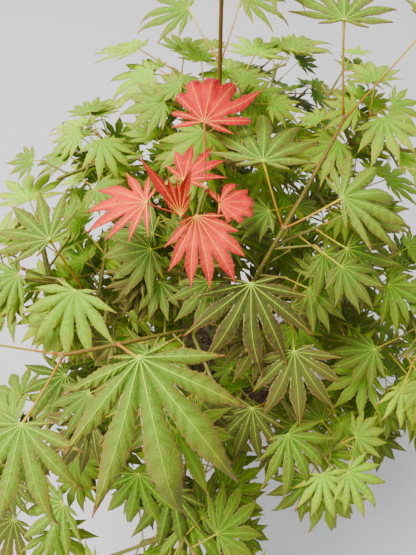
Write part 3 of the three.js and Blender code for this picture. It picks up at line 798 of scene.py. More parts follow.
    def grow_finer(self) -> None:
        """Carries each mass on to finer twigs with smaller leaves, within the same space."""
        self.add_extra()
        for k, mass in enumerate(MASSES):
            dice = Dice(mass.seed + 100)
            for twig in self.twigs[k]:
                bearing, rise = angles_of(twig[1] - twig[0])
                for share, turn in product(FINER.twig_shares, FINER.twig_turns):
                    self.grow_spray(k, dice, point_on(twig, share), bearing + turn, rise)
            limb = self.limbs[mass.name]
            for path, shares in ((self.stems[k], FINER.stem_shares), (limb, FINER.limb_shares)):
                for share, turn in product(np.arange(*shares), FINER.turns):
                    around = mass.phase + FINER.wind * share + turn
                    self.grow_spray(k, dice, point_on(path, share), around, FINER.rise)

    def grow_spray(self, k: int, dice: Dice, node: Array, bearing: float, rise: float) -> None:
        """A fine twig with up to four smaller leaves, dropped if it bears none.

        Args:
            k: the mass's number.
            dice: the source of chance.
            node: where the twig starts.
            bearing: its bearing.
            rise: its rise.
        """
        mass, radius = MASSES[k], HABIT.stalk_radius
        length = dice.roll(*FINER.length)
        turned = bearing + dice.about(FINER.turn_chance)
        lifted = rise * FINER.level_share + dice.roll(*FINER.rise_chance)
        tip = node + direction(turned, lifted) * length
        points = resample(np.array([node, tip]))
        if not self.has_room(points, radius, k):
            return
        self.ledger.add_rod(points, radius, k)
        grown = 0
        for spread in FINER.spreads:
            size = mass.size * dice.roll(*FINER.leaf_size)
            grown += self.try_leaf(tip, bearing + spread, FINER.leaf_rise, size, FINER.stalk_share, k, dice,
                                   mass.ceiling, Shape.FINE)
        if grown:
            self.fine_twigs.append(np.array([node, tip]))
        else:
            self.ledger.drop_rod()


@dataclass
class Stock:
    """Points, faces of four corners and per-point shares of one piece, gathered batch by batch."""

    points: list[Array] = field(default_factory=list)
    faces: list[Array] = field(default_factory=list)
    shares: dict[str, list[Array]] = field(default_factory=dict)
    masses: set[int] = field(default_factory=set)
    count: int = 0

    def add(self, points: Array, faces: Array, **shares: Array | float) -> "Stock":
        """Adds copies of one grid.

        Args:
            points: the copies' points, as copies by points by 3.
            faces: one copy's faces, as indices into its points.
            shares: values for each point, one name for each attribute.

        Returns:
            The stock itself.
        """
        copies, size = points.shape[:2]
        offsets = self.count + size * np.arange(copies)
        self.points.append(points.reshape(-1, 3))
        self.faces.append((faces[None] + offsets[:, None, None]).reshape(-1, 4))
        for name, values in shares.items():
            full = np.broadcast_to(values, (copies, size)).reshape(-1)
            self.shares.setdefault(name, []).append(full)
        self.count += copies * size
        return self

    def nodes(self) -> list[str]:
        """The solids of the masses whose leaves are in the stock."""
        return [MASS_NODES[k] for k in sorted(self.masses)]

    def piece(self, name: str, material: bpy.types.Material, slot: str, nodes: Sequence[str],
              smooth: bool = True) -> bpy.types.Object:
        """Makes the mesh object, in metres, and ties it to the frame.

        Args:
            name: the piece's name.
            material: its material.
            slot: not used.
            nodes: the solids that it stands for.
            smooth: whether its faces are shaded smoothly.

        Returns:
            The new object.
        """
        points, faces = np.vstack(self.points), np.vstack(self.faces)
        mesh = bpy.data.meshes.new(name)
        mesh.vertices.add(len(points))
        mesh.vertices.foreach_set("co", (points * MM).astype(np.float32).ravel())
        mesh.loops.add(faces.size)
        mesh.loops.foreach_set("vertex_index", faces.astype(np.int32).ravel())
        mesh.polygons.add(len(faces))
        mesh.polygons.foreach_set("loop_start", np.arange(0, faces.size, 4, dtype=np.int32))
        mesh.polygons.foreach_set("use_smooth", np.full(len(faces), smooth))
        for key, values in self.shares.items():
            layer = mesh.attributes.new(key, "FLOAT", "POINT")
            layer.data.foreach_set("value", np.concatenate(values).astype(np.float32))
        mesh.update(calc_edges=True)
        mesh.validate()
        mesh.materials.append(material)
        obj = add_object(name, mesh)
        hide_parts(*nodes)
        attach(obj, "root")
        log.info("%s: %d points, about %d triangles", name, len(points), 2 * len(faces))
        return obj


def grid_faces(rows: int, columns: int, closed: bool = False) -> Array:
    """The faces of a grid of points in rows, with each row's last point joined to its first if closed."""
    across = columns if closed else columns - 1
    r, c = np.meshgrid(np.arange(rows - 1), np.arange(across), indexing="ij")
    d = (c + 1) % columns
    return np.stack([r * columns + c, r * columns + d, (r + 1) * columns + d, (r + 1) * columns + c],
                    axis=-1).reshape(-1, 4)


def cap_faces(first: int, sides: int, flip: bool) -> Array:
    """Strips of four-cornered faces that close a ring with an even number of sides."""
    i = np.arange(sides // 2 - 1)
    faces = first + np.stack([i, i + 1, sides - 2 - i, sides - 1 - i], axis=1)
    return faces[:, ::-1] if flip else faces


def smooth_path(path: Array, count: int) -> Array:
    """A path with more points, on the cubic through its points whose slopes are those of their neighbours.

    Args:
        path: the points of the path.
        count: how many points to return.

    Returns:
        The points, evenly spaced in the steps of the path.
    """
    slopes = np.gradient(path, axis=0)
    place = np.linspace(0, len(path) - 1, count)
    i = np.minimum(place.astype(int), len(path) - 2)
    t = (place - i)[:, None]
    return ((2 * t ** 3 - 3 * t ** 2 + 1) * path[i] + (t ** 3 - 2 * t ** 2 + t) * slopes[i]
            + (3 * t ** 2 - 2 * t ** 3) * path[i + 1] + (t ** 3 - t ** 2) * slopes[i + 1])


def tubes(paths: Array, radii: Array, sides: int) -> tuple[Array, Array]:
    """Closed tubes carried along paths, all at once.

    Args:
        paths: the middle lines, as tubes by points by 3.
        radii: the radius at each point, as tubes by points, or tubes by points by sides for relief.
        sides: how many points each ring has, an even number.

    Returns:
        The points, as tubes by points, and one tube's faces. A ring's point is the path's point plus its
        radius times cos(angle) side + sin(angle) over, with side level and over square to side and heading.
    """
    rings = paths.shape[1]
    heading = unit(np.gradient(paths, axis=1))
    middle = unit(paths[:, -1] - paths[:, 0])
    flat = np.stack([-middle[:, 1], middle[:, 0], 0 * middle[:, 0]], axis=1)
    flat = np.where(np.linalg.norm(flat, axis=1, keepdims=True) > 1e-3, flat, [[1.0, 0, 0]])
    side = unit(flat[:, None] - heading * (heading * flat[:, None]).sum(-1, keepdims=True))
    over = np.cross(heading, side)
    angle = circle(sides)
    radii = radii if radii.ndim == 3 else radii[..., None] * np.ones(sides)
    points = (paths[:, :, None] + radii[..., None] * (np.cos(angle)[:, None] * side[:, :, None]
                                                     + np.sin(angle)[:, None] * over[:, :, None]))
    faces = np.vstack([grid_faces(rings, sides, closed=True), cap_faces(0, sides, True),
                       cap_faces((rings - 1) * sides, sides, False)])
    return points.reshape(len(paths), rings * sides, 3), faces


def ripple(values: Array, seed: int, octaves: int = 3) -> Array:
    """Smooth seeded noise of one or more coordinates: sines of turned and growing frequencies, summed.

    Args:
        values: the coordinates, on the last axis.
        seed: the seed of the turns.
        octaves: how many frequencies are summed.

    Returns:
        One height for each point.
    """
    rng = np.random.default_rng(seed)
    total = np.zeros(values.shape[:-1])
    for octave in range(octaves):
        turns = rng.normal(size=(values.shape[-1], 4)) * 1.9 ** octave
        total += np.sin(values @ turns + rng.uniform(0, 6.28, 4)).sum(-1) / (4 * 1.7 ** octave)
    return total


@dataclass(frozen=True)
class BladeForm:
    """A blade's outline and relief, as shares of its length.

    With them comes its lightness, partly painted light and shade, or None where that goes by the place of its
    joint.
    """

    notch: float = 0.36
    outer_notch: float = 0.6
    gaps: tuple[float, ...] = (1.0,) * 8
    reaches: tuple[float, ...] = (1.0,) * 9
    blunt: tuple[int, ...] = ()
    turn: float = 26.0
    widest: float = 0.4
    half_width: float = 0.12
    draw: float = 1.75
    tail: float = 0.013
    teeth: int = 6
    tooth: float = 0.19
    tooth_rows: Pair = (0.12, 0.8)
    toothed: float = 0.96
    plain_rows: tuple[float, ...] = (0.18, 0.38, 0.6, 0.82)
    joined_rows: int = 3
    columns: tuple[float, ...] = (-1, -0.86, 0, 0.86, 1)
    fold: float = -0.22
    droop: float = 0.09
    curl: float = 1.2
    lean: float = 1.1
    quilt: float = 0.0
    skew: float = 0.0
    # a set shade is painted light and shade: below 0 darkens shown blades that stand in shadow, near 1
    # lightens brighter ones
    shade: float | None = None
    margin_from: float = 0.8
    tip_from: float = 0.86
    vein: float = 0.004
    vein_steps: int = 10
    lift: float = 0.005
    side_veins: int = 0
    side_vein: float = 0.0013
    joint: float = 0.02
    joint_lift: float = 0.004


@dataclass
class Sheet:
    """Points of a blade's plane.

    u and v are the distances ahead of the joint and to its left, rise is the height over the bent blade, lobe
    the number of each point's lobe, and free how far past the notch the point is.
    """

    u: Array
    v: Array
    rise: Array
    lobe: Array
    free: Array

    def plus(self, other: "Sheet") -> "Sheet":
        """The points of both sheets."""
        return Sheet(**{key: np.append(value, getattr(other, key)) for key, value in vars(self).items()})


def draws(seeds: Sequence[int], draw: Callable[[np.random.Generator], Array], step: int = 0) -> Array:
    """What the generator of each seed draws, stacked."""
    return np.stack([draw(np.random.default_rng(seed + step)) for seed in seeds])


class Blade:
    """The grid of one blade in its own plane, for all lobes, split into its body, margin and veins."""

    def __init__(self, form: BladeForm) -> None:
        """Works out the grid.

        Each lobe has a middle line and two edges. An edge follows the line halfway to the next lobe as far
        as their notch. From there it swells to the lobe's widest point and draws in to its tip, with teeth
        that rise slowly and drop at once. Points between are shares of the way from the middle to the edge.

        Args:
            form: the blade's outline and relief.
        """
        self.form = form
        self.reach = lobe_reach(LOBES) * np.array(form.reaches)
        gaps = form.notch * np.array(form.gaps) * np.minimum(self.reach[:-1], self.reach[1:])
        first, last = form.outer_notch * gaps[0], form.outer_notch * gaps[-1]
        self.notches = np.stack([np.append(first, gaps), np.append(gaps, last)])
        joined = np.linspace(0.04, 1, form.joined_rows)
        u, dip, swelling = self.teeth()
        t = abs(np.array(form.columns))
        local = self.outline(joined, u, dip)
        bulge = np.concatenate([0 * joined, swelling, [0]])[:, None] * 4 * t * (1 - t)
        self.sheet = self.sheet_of(local, form.quilt * bulge[None])
        shape = local.shape[:3]
        out = np.broadcast_to(np.append(0 * joined, u)[None, :, None], shape)
        # core is 1 on each lobe's middle line and 0 at its edges: partly the paler colour by the veins,
        # partly a painted highlight, with painted shade where the lobes meet
        self.core = np.broadcast_to((1 - t) ** 2, shape).reshape(-1)
        self.rim = np.maximum(out ** 3, t ** 5 * (out > 0)).reshape(-1)
        self.out = (out ** 5).reshape(-1)
        self.split(shape[1], np.array(form.columns))
        self.add_veins(local)

    def teeth(self) -> tuple[Array, Array, Array]:
        """The rows past the notch.

        Returns:
            Their shares of the way to the tip, how far each dips, and how far all but the last swell.
        """
        teeth, last, (low, high) = self.form.teeth, self.form.toothed, self.form.tooth_rows
        if teeth:
            step = np.arange(teeth)
            u = np.stack([(step + low) / teeth, (step + high) / teeth], axis=1).ravel() * last
            dip = np.tile([1.0, 0.0], teeth)
            swelling = np.sin(np.pi / 2 * (u * teeth / last - high)) ** 2
        else:
            u = np.array(self.form.plain_rows)
            dip = swelling = np.zeros(len(u))
        return np.append(u, 1.0), np.append(dip, 0.0), swelling

    def outline(self, joined: Array, u: Array, dip: Array) -> Array:
        """The grid of each lobe, pointing ahead.

        Args:
            joined: the rows up to the notch, as shares of the way to it.
            u: the rows past the notch, as shares of the way to the tip.
            dip: how deep each of those dips between its teeth.

        Returns:
            The points, as lobes by rows by columns by 2.
        """
        form, joined, u = self.form, joined[:, None], u[:, None]
        half = np.radians(form.turn / 2)
        rise = np.clip(u / form.widest, 0, 1)
        rise = rise * rise * (3 - 2 * rise)
        fall = np.clip((u - form.widest) / (1 - form.widest), 0, 1)
        fall = np.where(np.isin(LOBES, form.blunt), fall ** 7, fall)
        cut = 1 - form.tooth * np.append(0 * joined, dip)[:, None]
        edges, middles = [], []
        for sign, notch in zip((-1, 1), self.notches):
            x0, y0 = notch * np.cos(half), notch * np.sin(half)
            x = np.concatenate([joined * x0, x0 + u * (self.reach - x0)])
            peak = np.maximum(form.half_width * self.reach, 0.8 * y0)
            swell = (y0 + (peak - y0) * rise) * (1 - fall) ** form.draw * (1 + 0.7 * fall)
            y = np.concatenate([joined * y0, swell + form.tail * fall * (1 - fall) ** 0.3])
            edges.append(np.stack([x, sign * y * cut], axis=-1))
            middles.append(x - form.lean * y)
        t = np.array(form.columns)[:, None, None, None]
        middle = 0.5 * (middles[0] + middles[1])[..., None] * [1, 0]
        edge = np.where(t < 0, edges[0], edges[1])
        return (middle + (edge - middle) * abs(t)).transpose(2, 1, 0, 3)

    def sheet_of(self, local: Array, rise: Array | float = 0.0) -> Sheet:
        """The lobes' own points turned to their bearings, and folded along the lobes' middle lines.

        Args:
            local: distance along each lobe and to its left, with the lobes on the first axis.
            rise: what stands over the fold.

        Returns:
            The sheet of them all.
        """
        along, aside = local[..., 0], local[..., 1]
        column = (-1,) + (1,) * (along.ndim - 1)
        angle = np.radians(LOBES * self.form.turn + self.form.skew).reshape(column)
        start = self.notches.max(0).reshape(column)
        values = (along * np.cos(angle) - aside * np.sin(angle),
                  along * np.sin(angle) + aside * np.cos(angle),
                  self.form.fold * abs(aside) + rise,
                  np.arange(len(LOBES)).reshape(column),
                  np.clip(along - start, 0, 1))
        return Sheet(*(np.broadcast_to(value, along.shape).reshape(-1) for value in values))

    def split(self, rows: int, t: Array) -> None:
        """Deals the faces out to the body and the margin, which is the rim past the notch and the tip.

        Args:
            rows: how many rows each lobe has.
            t: the columns, from -1 to 1.
        """
        form = self.form
        faces = grid_faces(rows, len(t))
        row = np.repeat(np.arange(rows - 1), len(t) - 1)
        column = np.tile(np.arange(len(t) - 1), rows - 1)
        outer = np.minimum(abs(t[column]), abs(t[column + 1])) >= form.margin_from
        tip = row >= form.joined_rows + form.tip_from * (rows - 1 - form.joined_rows)
        margin = (outer & (row >= form.joined_rows - 1)) | tip
        self.body = per_lobe(faces[~margin], rows * len(t))
        self.margin = per_lobe(faces[margin], rows * len(t))

    def add_veins(self, local: Array) -> None:
        """Ribbons on the middle line of each lobe, side veins to the teeth, and the cap over the joint.

        Args:
            local: the lobes' own points.
        """
        form = self.form
        s = np.linspace(0.02, 0.96, form.vein_steps)
        half = form.vein * (1 - 0.7 * s)[:, None] * np.ones(len(LOBES))
        strip = np.stack([np.stack([s[:, None] * self.reach, sign * half], -1) for sign in (1, -1)], axis=1)
        points = [strip.transpose(2, 0, 1, 3).reshape(len(LOBES), -1, 2)]
        faces = [grid_faces(len(s), 2)]
        middle, last = local.shape[2] // 2, local.shape[2] - 1
        for j, column in product(range(form.side_veins), (1, last - 1)):
            row = form.joined_rows + 1 + 2 * j * (form.teeth // form.side_veins)
            start, end = local[:, row, middle], local[:, row, column]
            across = np.stack([start[:, 1] - end[:, 1], end[:, 0] - start[:, 0]], axis=1)
            aside = unit(across) * form.side_vein
            end = start + 0.92 * (end - start)
            quad = np.stack([start + aside, start - aside, end + 0.4 * aside, end - 0.4 * aside], axis=1)
            points.append(quad if column > middle else quad[:, [1, 0, 3, 2]])
            faces.append(grid_faces(2, 2))
        flat = np.concatenate(points, axis=1)
        offset = np.cumsum([0] + [p.shape[1] for p in points[:-1]])
        one = np.vstack([f + o for f, o in zip(faces, offset)])
        ribs, turn = self.sheet_of(flat), circle(6)
        centre = np.full(6, len(LOBES) // 2)
        cap = Sheet(form.joint * np.cos(turn), form.joint * np.sin(turn), 0 * turn, centre, 0 * turn)
        main = np.tile(np.arange(flat.shape[1]) < points[0].shape[1], len(LOBES))
        self.ribs = ribs.plus(cap)
        self.rib_lift = form.lift + form.joint_lift * np.append(0 * ribs.u, np.ones(6))
        self.rib_main = np.append(1.0 * main, np.ones(6))
        self.rib_faces = np.vstack([per_lobe(one, flat.shape[1]), cap_faces(ribs.u.size, 6, False)])


def per_lobe(faces: Array, points: int) -> Array:
    """The faces of one lobe repeated for every lobe, each of so many points."""
    return (faces[None] + points * np.arange(len(LOBES))[:, None, None]).reshape(-1, 4)


@dataclass
class Bending:
    """How the lobes of one leaf differ from each other's, and lays blades on leaves."""

    droop: float = 0.16
    swing: float = 0.13
    fold: Pair = (0.6, 1.4)
    stretch: Pair = (-0.14, 0.04)
    curl: Pair = (0.2, 1.8)
    curl_from: float = 0.42

    def lay(self, form: BladeForm, leaves: Sequence[Leaf], sheet: Sheet, lift: Array | float = 0.0) -> Array:
        """Lays points of the blade's plane on leaves.

        Args:
            form: the blade's form.
            leaves: the leaves to lay them on.
            sheet: the points.
            lift: how far over the blade each point is.

        Returns:
            Points, as leaves by points by 3: joint + size (u ahead + v left + h face), where h is the rise
            and lift, less sag times the squared reach, and less each lobe's own droop times its free length
            squared and the curl of its tip. Each lobe swings aside and is stretched by its own share.
        """
        spot = np.array([[leaf.joint, leaf.ahead, leaf.left, leaf.face] for leaf in leaves])[:, :, None]
        size, sag = np.array([[leaf.size, leaf.sag] for leaf in leaves]).T[..., None]
        seeds = [int(1000 * abs(leaf.joint).sum()) % 99991 for leaf in leaves]
        u, v, free, lobe, count = sheet.u, sheet.v, sheet.free, sheet.lobe, len(LOBES)
        droop = draws(seeds, lambda rng: rng.normal(form.droop, self.droop, count))[:, lobe]
        fold = draws(seeds, lambda rng: rng.uniform(*self.fold, 1), 3)
        stretch = 1 + free * draws(seeds, lambda rng: rng.uniform(*self.stretch, count), 5)[:, lobe]
        swing = draws(seeds, lambda rng: rng.normal(0, self.swing, count), 7)[:, lobe]
        curl = draws(seeds, lambda rng: rng.uniform(*self.curl, count), 9)[:, lobe]
        height = (sheet.rise * fold + lift - sag * (u * u + v * v) - droop * free * free
                  - form.curl * curl * np.clip(free - self.curl_from, 0, 1) ** 2)
        parts = np.stack([u * stretch, (v + swing * free * free) * stretch, height])[..., None]
        return spot[:, 0] + size[..., None] * sum(part * spot[:, i + 1] for i, part in enumerate(parts))


class Value:
    """A shader socket that takes part in Python expressions, each of which adds its Math node."""

    def __init__(self, paint: "Paint", socket: bpy.types.NodeSocket) -> None:
        """Wraps an output socket of a material's tree."""
        self.paint, self.socket = paint, socket

    def _math(self, operation: str, *values: "Value | float") -> "Value":
        """The result of a Math node on the values."""
        sockets = {i: value for i, value in enumerate(values)}
        return self.paint.node("ShaderNodeMath", {"operation": operation}, sockets)["Value"]

    def __add__(self, other: "Value | float") -> "Value":
        """self + other."""
        return self._math("ADD", self, other)

    def __radd__(self, other: float) -> "Value":
        """other + self."""
        return self._math("ADD", other, self)

    def __sub__(self, other: "Value | float") -> "Value":
        """self - other."""
        return self._math("SUBTRACT", self, other)

    def __rsub__(self, other: float) -> "Value":
        """other - self."""
        return self._math("SUBTRACT", other, self)

    def __mul__(self, other: "Value | float") -> "Value":
        """self * other."""
        return self._math("MULTIPLY", self, other)

    def __rmul__(self, other: float) -> "Value":
        """other * self."""
        return self._math("MULTIPLY", other, self)

    def __pow__(self, other: "Value | float") -> "Value":
        """self to the power of other."""
        return self._math("POWER", self, other)


class Outputs:
    """The outputs of a node, by name, as values."""

    def __init__(self, paint: "Paint", node: bpy.types.Node) -> None:
        """Wraps a node's outputs."""
        self.paint, self.node = paint, node

    def __getitem__(self, name: str | int) -> Value:
        """The output of a name or a number."""
        return Value(self.paint, self.node.outputs[name])


class Paint:
    """A material whose node tree is built by one method."""

    def __init__(self, name: str) -> None:
        """Makes an empty material with its Principled shader."""
        self.material = bpy.data.materials.new(name)
        self.material.use_nodes = True
        self.tree = self.material.node_tree
        self.shader = next(n for n in self.tree.nodes if n.type == "BSDF_PRINCIPLED")

    def node(self, kind: str, settings: dict[str, object] | None = None,
             sockets: dict[str | int, object] | None = None) -> Outputs:
        """Adds a node.

        Args:
            kind: the node's type.
            settings: its own settings, which are set first.
            sockets: values or links of its input sockets.

        Returns:
            The node's outputs.
        """
        node = self.tree.nodes.new(kind)
        for key, value in (settings or {}).items():
            setattr(node, key, value)
        for key, value in (sockets or {}).items():
            self.feed(node.inputs[key], value)
        return Outputs(self, node)

    def feed(self, socket: bpy.types.NodeSocket, value: object) -> None:
        """Links a value to a socket, or sets it there.

        Args:
            socket: the input socket.
            value: a value of the tree, a number or a colour.
        """
        if isinstance(value, Value):
            self.tree.links.new(value.socket, socket)
        elif isinstance(value, tuple) and len(value) == 3 and socket.type == "RGBA":
            socket.default_value = (*value, 1.0)
        else:
            socket.default_value = value

    def blend(self, share: Value | float, low: Value | Triple, high: Value | Triple) -> Value:
        """The colour at a share of the way from low to high."""
        outputs = self.node("ShaderNodeMix", {"data_type": "RGBA"}, {0: share, 6: low, 7: high})
        return Value(self, outputs.node.outputs[2])

    def place(self) -> Value:
        """The piece's own coordinates."""
        return self.node("ShaderNodeTexCoord")["Object"]

    def share(self, name: str) -> Value:
        """The piece's attribute of a name."""
        return self.node("ShaderNodeAttribute", {"attribute_name": name})["Fac"]

    def noise(self, scale: float, detail: float = 2.0) -> Value:
        """Noise on the piece's own coordinates, from 0 to 1."""
        return self.node("ShaderNodeTexNoise", None,
                         {"Vector": self.place(), "Scale": scale, "Detail": detail})["Fac"]

    def cells(self, scale: float, feature: str = "F1") -> Value:
        """Distance to cells scattered in the piece's own coordinates."""
        return self.node("ShaderNodeTexVoronoi", {"feature": feature},
                         {"Vector": self.place(), "Scale": scale})["Distance"]

    def between(self, value: Value, low: float, high: float) -> Value:
        """0 below low, 1 above high, and even between."""
        return self.node("ShaderNodeMapRange", {"clamp": True},
                         {"Value": value, "From Min": low, "From Max": high})["Result"]

    def relief(self, height: Value, strength: float, distance: float) -> None:
        """Bumps the surface by a height."""
        bump = self.node("ShaderNodeBump", None,
                         {"Height": height, "Strength": strength, "Distance": distance})
        self.feed(self.shader.inputs["Normal"], bump["Normal"])

    def set(self, **inputs: object) -> None:
        """Sets or links the shader's own sockets, with underscores for the spaces in their names."""
        for key, value in inputs.items():
            self.feed(self.shader.inputs[key.replace("_", " ")], value)


@dataclass(frozen=True)
class LeafFinish:
    """The colours of a blade: its body, its paler colour, partly painted light, its darker patches, and its
    rim.

    With them come its slot, its margin's piece and how far its side veins take the veins' second colour.
    """

    slot: str
    margin: str
    side_vein: float
    body: Triple
    pale: Triple
    dark: Triple
    rim: Triple
    rim_share: float
    tip_share: float
    roughness: float = 0.5

    def make(self, name: str) -> bpy.types.Material:
        """A leaf skin: fine mottling, a lightness partly of painted light and shade, and the rim's colour to
        the tips.

        Args:
            name: the tint's name.

        Returns:
            The material.
        """
        paint = Paint(f"leaf_{name}")
        patches = paint.between(paint.noise(85, 4), 0.38, 0.64)
        fine = paint.between(paint.noise(420, 2), 0.3, 0.7)
        tinged = paint.between(paint.noise(150, 3), 0.45, 0.75)
        colour = paint.blend(0.85 * patches, self.body, self.dark)
        # Paler by each leaf's lightness, by fine mottling and towards each lobe's middle, partly the paler
        # colour by the veins and partly a painted highlight.
        colour = paint.blend(paint.share("shade") * 0.35 + fine * 0.2 + paint.share("core") * 0.42, colour,
                             self.pale)
        colour = paint.blend(paint.share("along") ** 0.35 * self.tip_share, colour, self.rim)
        colour = paint.blend(paint.share("rim") * self.rim_share + tinged * 0.3, colour, self.rim)
        paint.set(Base_Color=colour, Roughness=self.roughness + 0.14 * fine, Specular_IOR_Level=0.12)
        netting = paint.between(paint.cells(620, "DISTANCE_TO_EDGE"), 0.0, 0.18)
        paint.relief(netting + 0.9 * paint.noise(260, 3), 0.42, 0.0008)
        return paint.material


@dataclass(frozen=True)
class TrimFinish:
    """The colours of a thin part of the leaf, such as its margin, veins or stalk."""

    name: str
    body: Triple
    other: Triple
    scale: float = 140
    roughness: float = 0.5
    along: bool = False

    def make(self) -> bpy.types.Material:
        """Two colours that change into each other in patches, or along the part.

        Returns:
            The material.
        """
        paint = Paint(self.name)
        patches = paint.between(paint.noise(self.scale, 2), 0.3, 0.7)
        share = paint.share("along") * 0.75 + 0.25 * patches if self.along else patches
        paint.set(Base_Color=paint.blend(share, self.body, self.other),
                  Roughness=self.roughness + 0.1 * patches, Specular_IOR_Level=0.35)
        paint.relief(paint.noise(900, 2), 0.12, 0.0004)
        return paint.material


@dataclass(frozen=True)
class BarkFinish:
    """Young bark: olive over brown, in long streaks, with pale pores."""

    name: str = "young_bark"
    olive: Triple = (0.185, 0.180, 0.020)
    brown: Triple = (0.105, 0.066, 0.026)
    pale: Triple = (0.34, 0.30, 0.12)

    def make(self) -> bpy.types.Material:
        """Streaks by noise stretched upwards, browner to the foot, and pores as small pale cells.

        Returns:
            The material.
        """
        paint = Paint(self.name)
        stretched = paint.node("ShaderNodeVectorMath", {"operation": "MULTIPLY"},
                               {0: paint.place(), 1: (1.0, 1.0, 0.16)})["Vector"]
        streaks = paint.node("ShaderNodeTexNoise", None,
                             {"Vector": stretched, "Scale": 460.0, "Detail": 4.0})["Fac"]
        streaks = paint.between(streaks, 0.3, 0.7)
        pores = 1 - paint.between(paint.cells(330), 0.12, 0.2)
        colour = paint.blend(paint.share("age") * 0.8 + 0.35 * streaks - 0.1, self.olive, self.brown)
        colour = paint.blend(0.45 * pores, colour, self.pale)
        paint.set(Base_Color=colour, Roughness=0.62 + 0.2 * streaks, Specular_IOR_Level=0.35)
        paint.relief(streaks + 0.5 * pores, 0.5, 0.0007)
        return paint.material


@dataclass(frozen=True)
class PotFinish:
    """Black moulded plastic, dusty and scuffed."""

    black: Triple = (0.013, 0.013, 0.014)
    dust: Triple = (0.085, 0.078, 0.066)

    def make(self) -> bpy.types.Material:
        """Black with dust in soft patches and fine scuffs, and the grain of the mould.

        Returns:
            The material.
        """
        paint = Paint("pot_plastic")
        patches = paint.between(paint.noise(14, 5), 0.48, 0.75)
        scuffs = paint.between(paint.noise(240, 3), 0.55, 0.72)
        paint.set(Base_Color=paint.blend(0.4 * patches + 0.12 * scuffs, self.black, self.dust),
                  Roughness=0.42 + 0.3 * patches + 0.1 * scuffs, Specular_IOR_Level=0.5)
        paint.relief(paint.noise(1300, 2), 0.16, 0.0003)
        return paint.material


@dataclass(frozen=True)
class MixFinish:
    """Potting mix or the bits in it, in two browns."""

    name: str
    body: Triple
    other: Triple

    def make(self) -> bpy.types.Material:
        """Browns that change by coarse and fine noise, quite rough.

        Returns:
            The material.
        """
        paint = Paint(self.name)
        coarse = paint.between(paint.noise(130, 4), 0.35, 0.65)
        fine = paint.between(paint.noise(900, 2), 0.3, 0.7)
        paint.set(Base_Color=paint.blend(0.6 * coarse + 0.4 * fine, self.body, self.other),
                  Roughness=0.86 + 0.1 * fine, Specular_IOR_Level=0.25)
        paint.relief(coarse + fine, 0.9, 0.0012)
        return paint.material


BLADE_FINISH = {
    Tint.CORAL: LeafFinish("leaf_coral", "margin_crimson", 0.45, (0.78, 0.024, 0.016), (0.99, 0.110, 0.035),
                           (0.46, 0.012, 0.012), (0.48, 0.004, 0.022), 0.9, 0.85),
    Tint.BRONZE: LeafFinish("leaf_bronze", "margin_red", 0.0, (0.055, 0.080, 0.012), (0.130, 0.180, 0.020),
                            (0.034, 0.040, 0.010), (0.135, 0.044, 0.018), 0.5, 0.3),
    Tint.OLIVE: LeafFinish("leaf_bronze", "margin_red", 0.5, (0.078, 0.170, 0.014), (0.210, 0.430, 0.016),
                           (0.046, 0.088, 0.012), (0.24, 0.110, 0.020), 0.5, 0.35),
    Tint.DEEP: LeafFinish("leaf_green", "margin_red", 0.15, (0.050, 0.124, 0.011), (0.135, 0.280, 0.018),
                          (0.030, 0.062, 0.009), (0.17, 0.10, 0.018), 0.4, 0.25),
    Tint.MID: LeafFinish("leaf_green", "margin_tan", 0.35, (0.084, 0.220, 0.011), (0.215, 0.460, 0.016),
                         (0.048, 0.125, 0.009), (0.28, 0.175, 0.020), 0.35, 0.3),
    Tint.LIGHT: LeafFinish("leaf_light", "margin_tan", 0.45, (0.145, 0.370, 0.007), (0.310, 0.70, 0.011),
                           (0.080, 0.210, 0.006), (0.46, 0.26, 0.02), 0.3, 0.35),
    Tint.LIME: LeafFinish("leaf_light", "margin_tan", 0.45, (0.25, 0.54, 0.006), (0.44, 0.85, 0.011),
                          (0.150, 0.345, 0.006), (0.56, 0.32, 0.02), 0.3, 0.35),
}
TRIMS = (
    ("leaf_bronze", TrimFinish("margin_red", (0.150, 0.125, 0.020), (0.40, 0.055, 0.026), along=True)),
    ("leaf_light", TrimFinish("margin_tan", (0.25, 0.32, 0.024), (0.54, 0.130, 0.035), along=True)),
    ("leaf_coral", TrimFinish("margin_crimson", (0.46, 0.014, 0.022), (0.40, 0.012, 0.02), along=True)),
    ("leaf_green", TrimFinish("veins_green", (0.09, 0.14, 0.012), (0.44, 0.66, 0.006), along=True)),
    ("leaf_green", TrimFinish("backs_green", (0.22, 0.34, 0.07), (0.28, 0.41, 0.10), 60, 0.65)),
    ("leaf_coral", TrimFinish("veins_rosy", (0.92, 0.20, 0.02), (0.98, 0.54, 0.006), along=True)),
    ("leaf_coral", TrimFinish("backs_rosy", (0.44, 0.05, 0.05), (0.54, 0.10, 0.08), 60, 0.65)),
    ("leaf_bronze", TrimFinish("stalks_yellow", (0.42, 0.050, 0.012), (0.62, 0.50, 0.008), along=True)),
    ("leaf_light", TrimFinish("stalks_green", (0.38, 0.19, 0.012), (0.38, 0.44, 0.008), along=True)),
    ("leaf_coral", TrimFinish("stalks_red", (0.36, 0.014, 0.014), (0.66, 0.05, 0.03), along=True)),
)

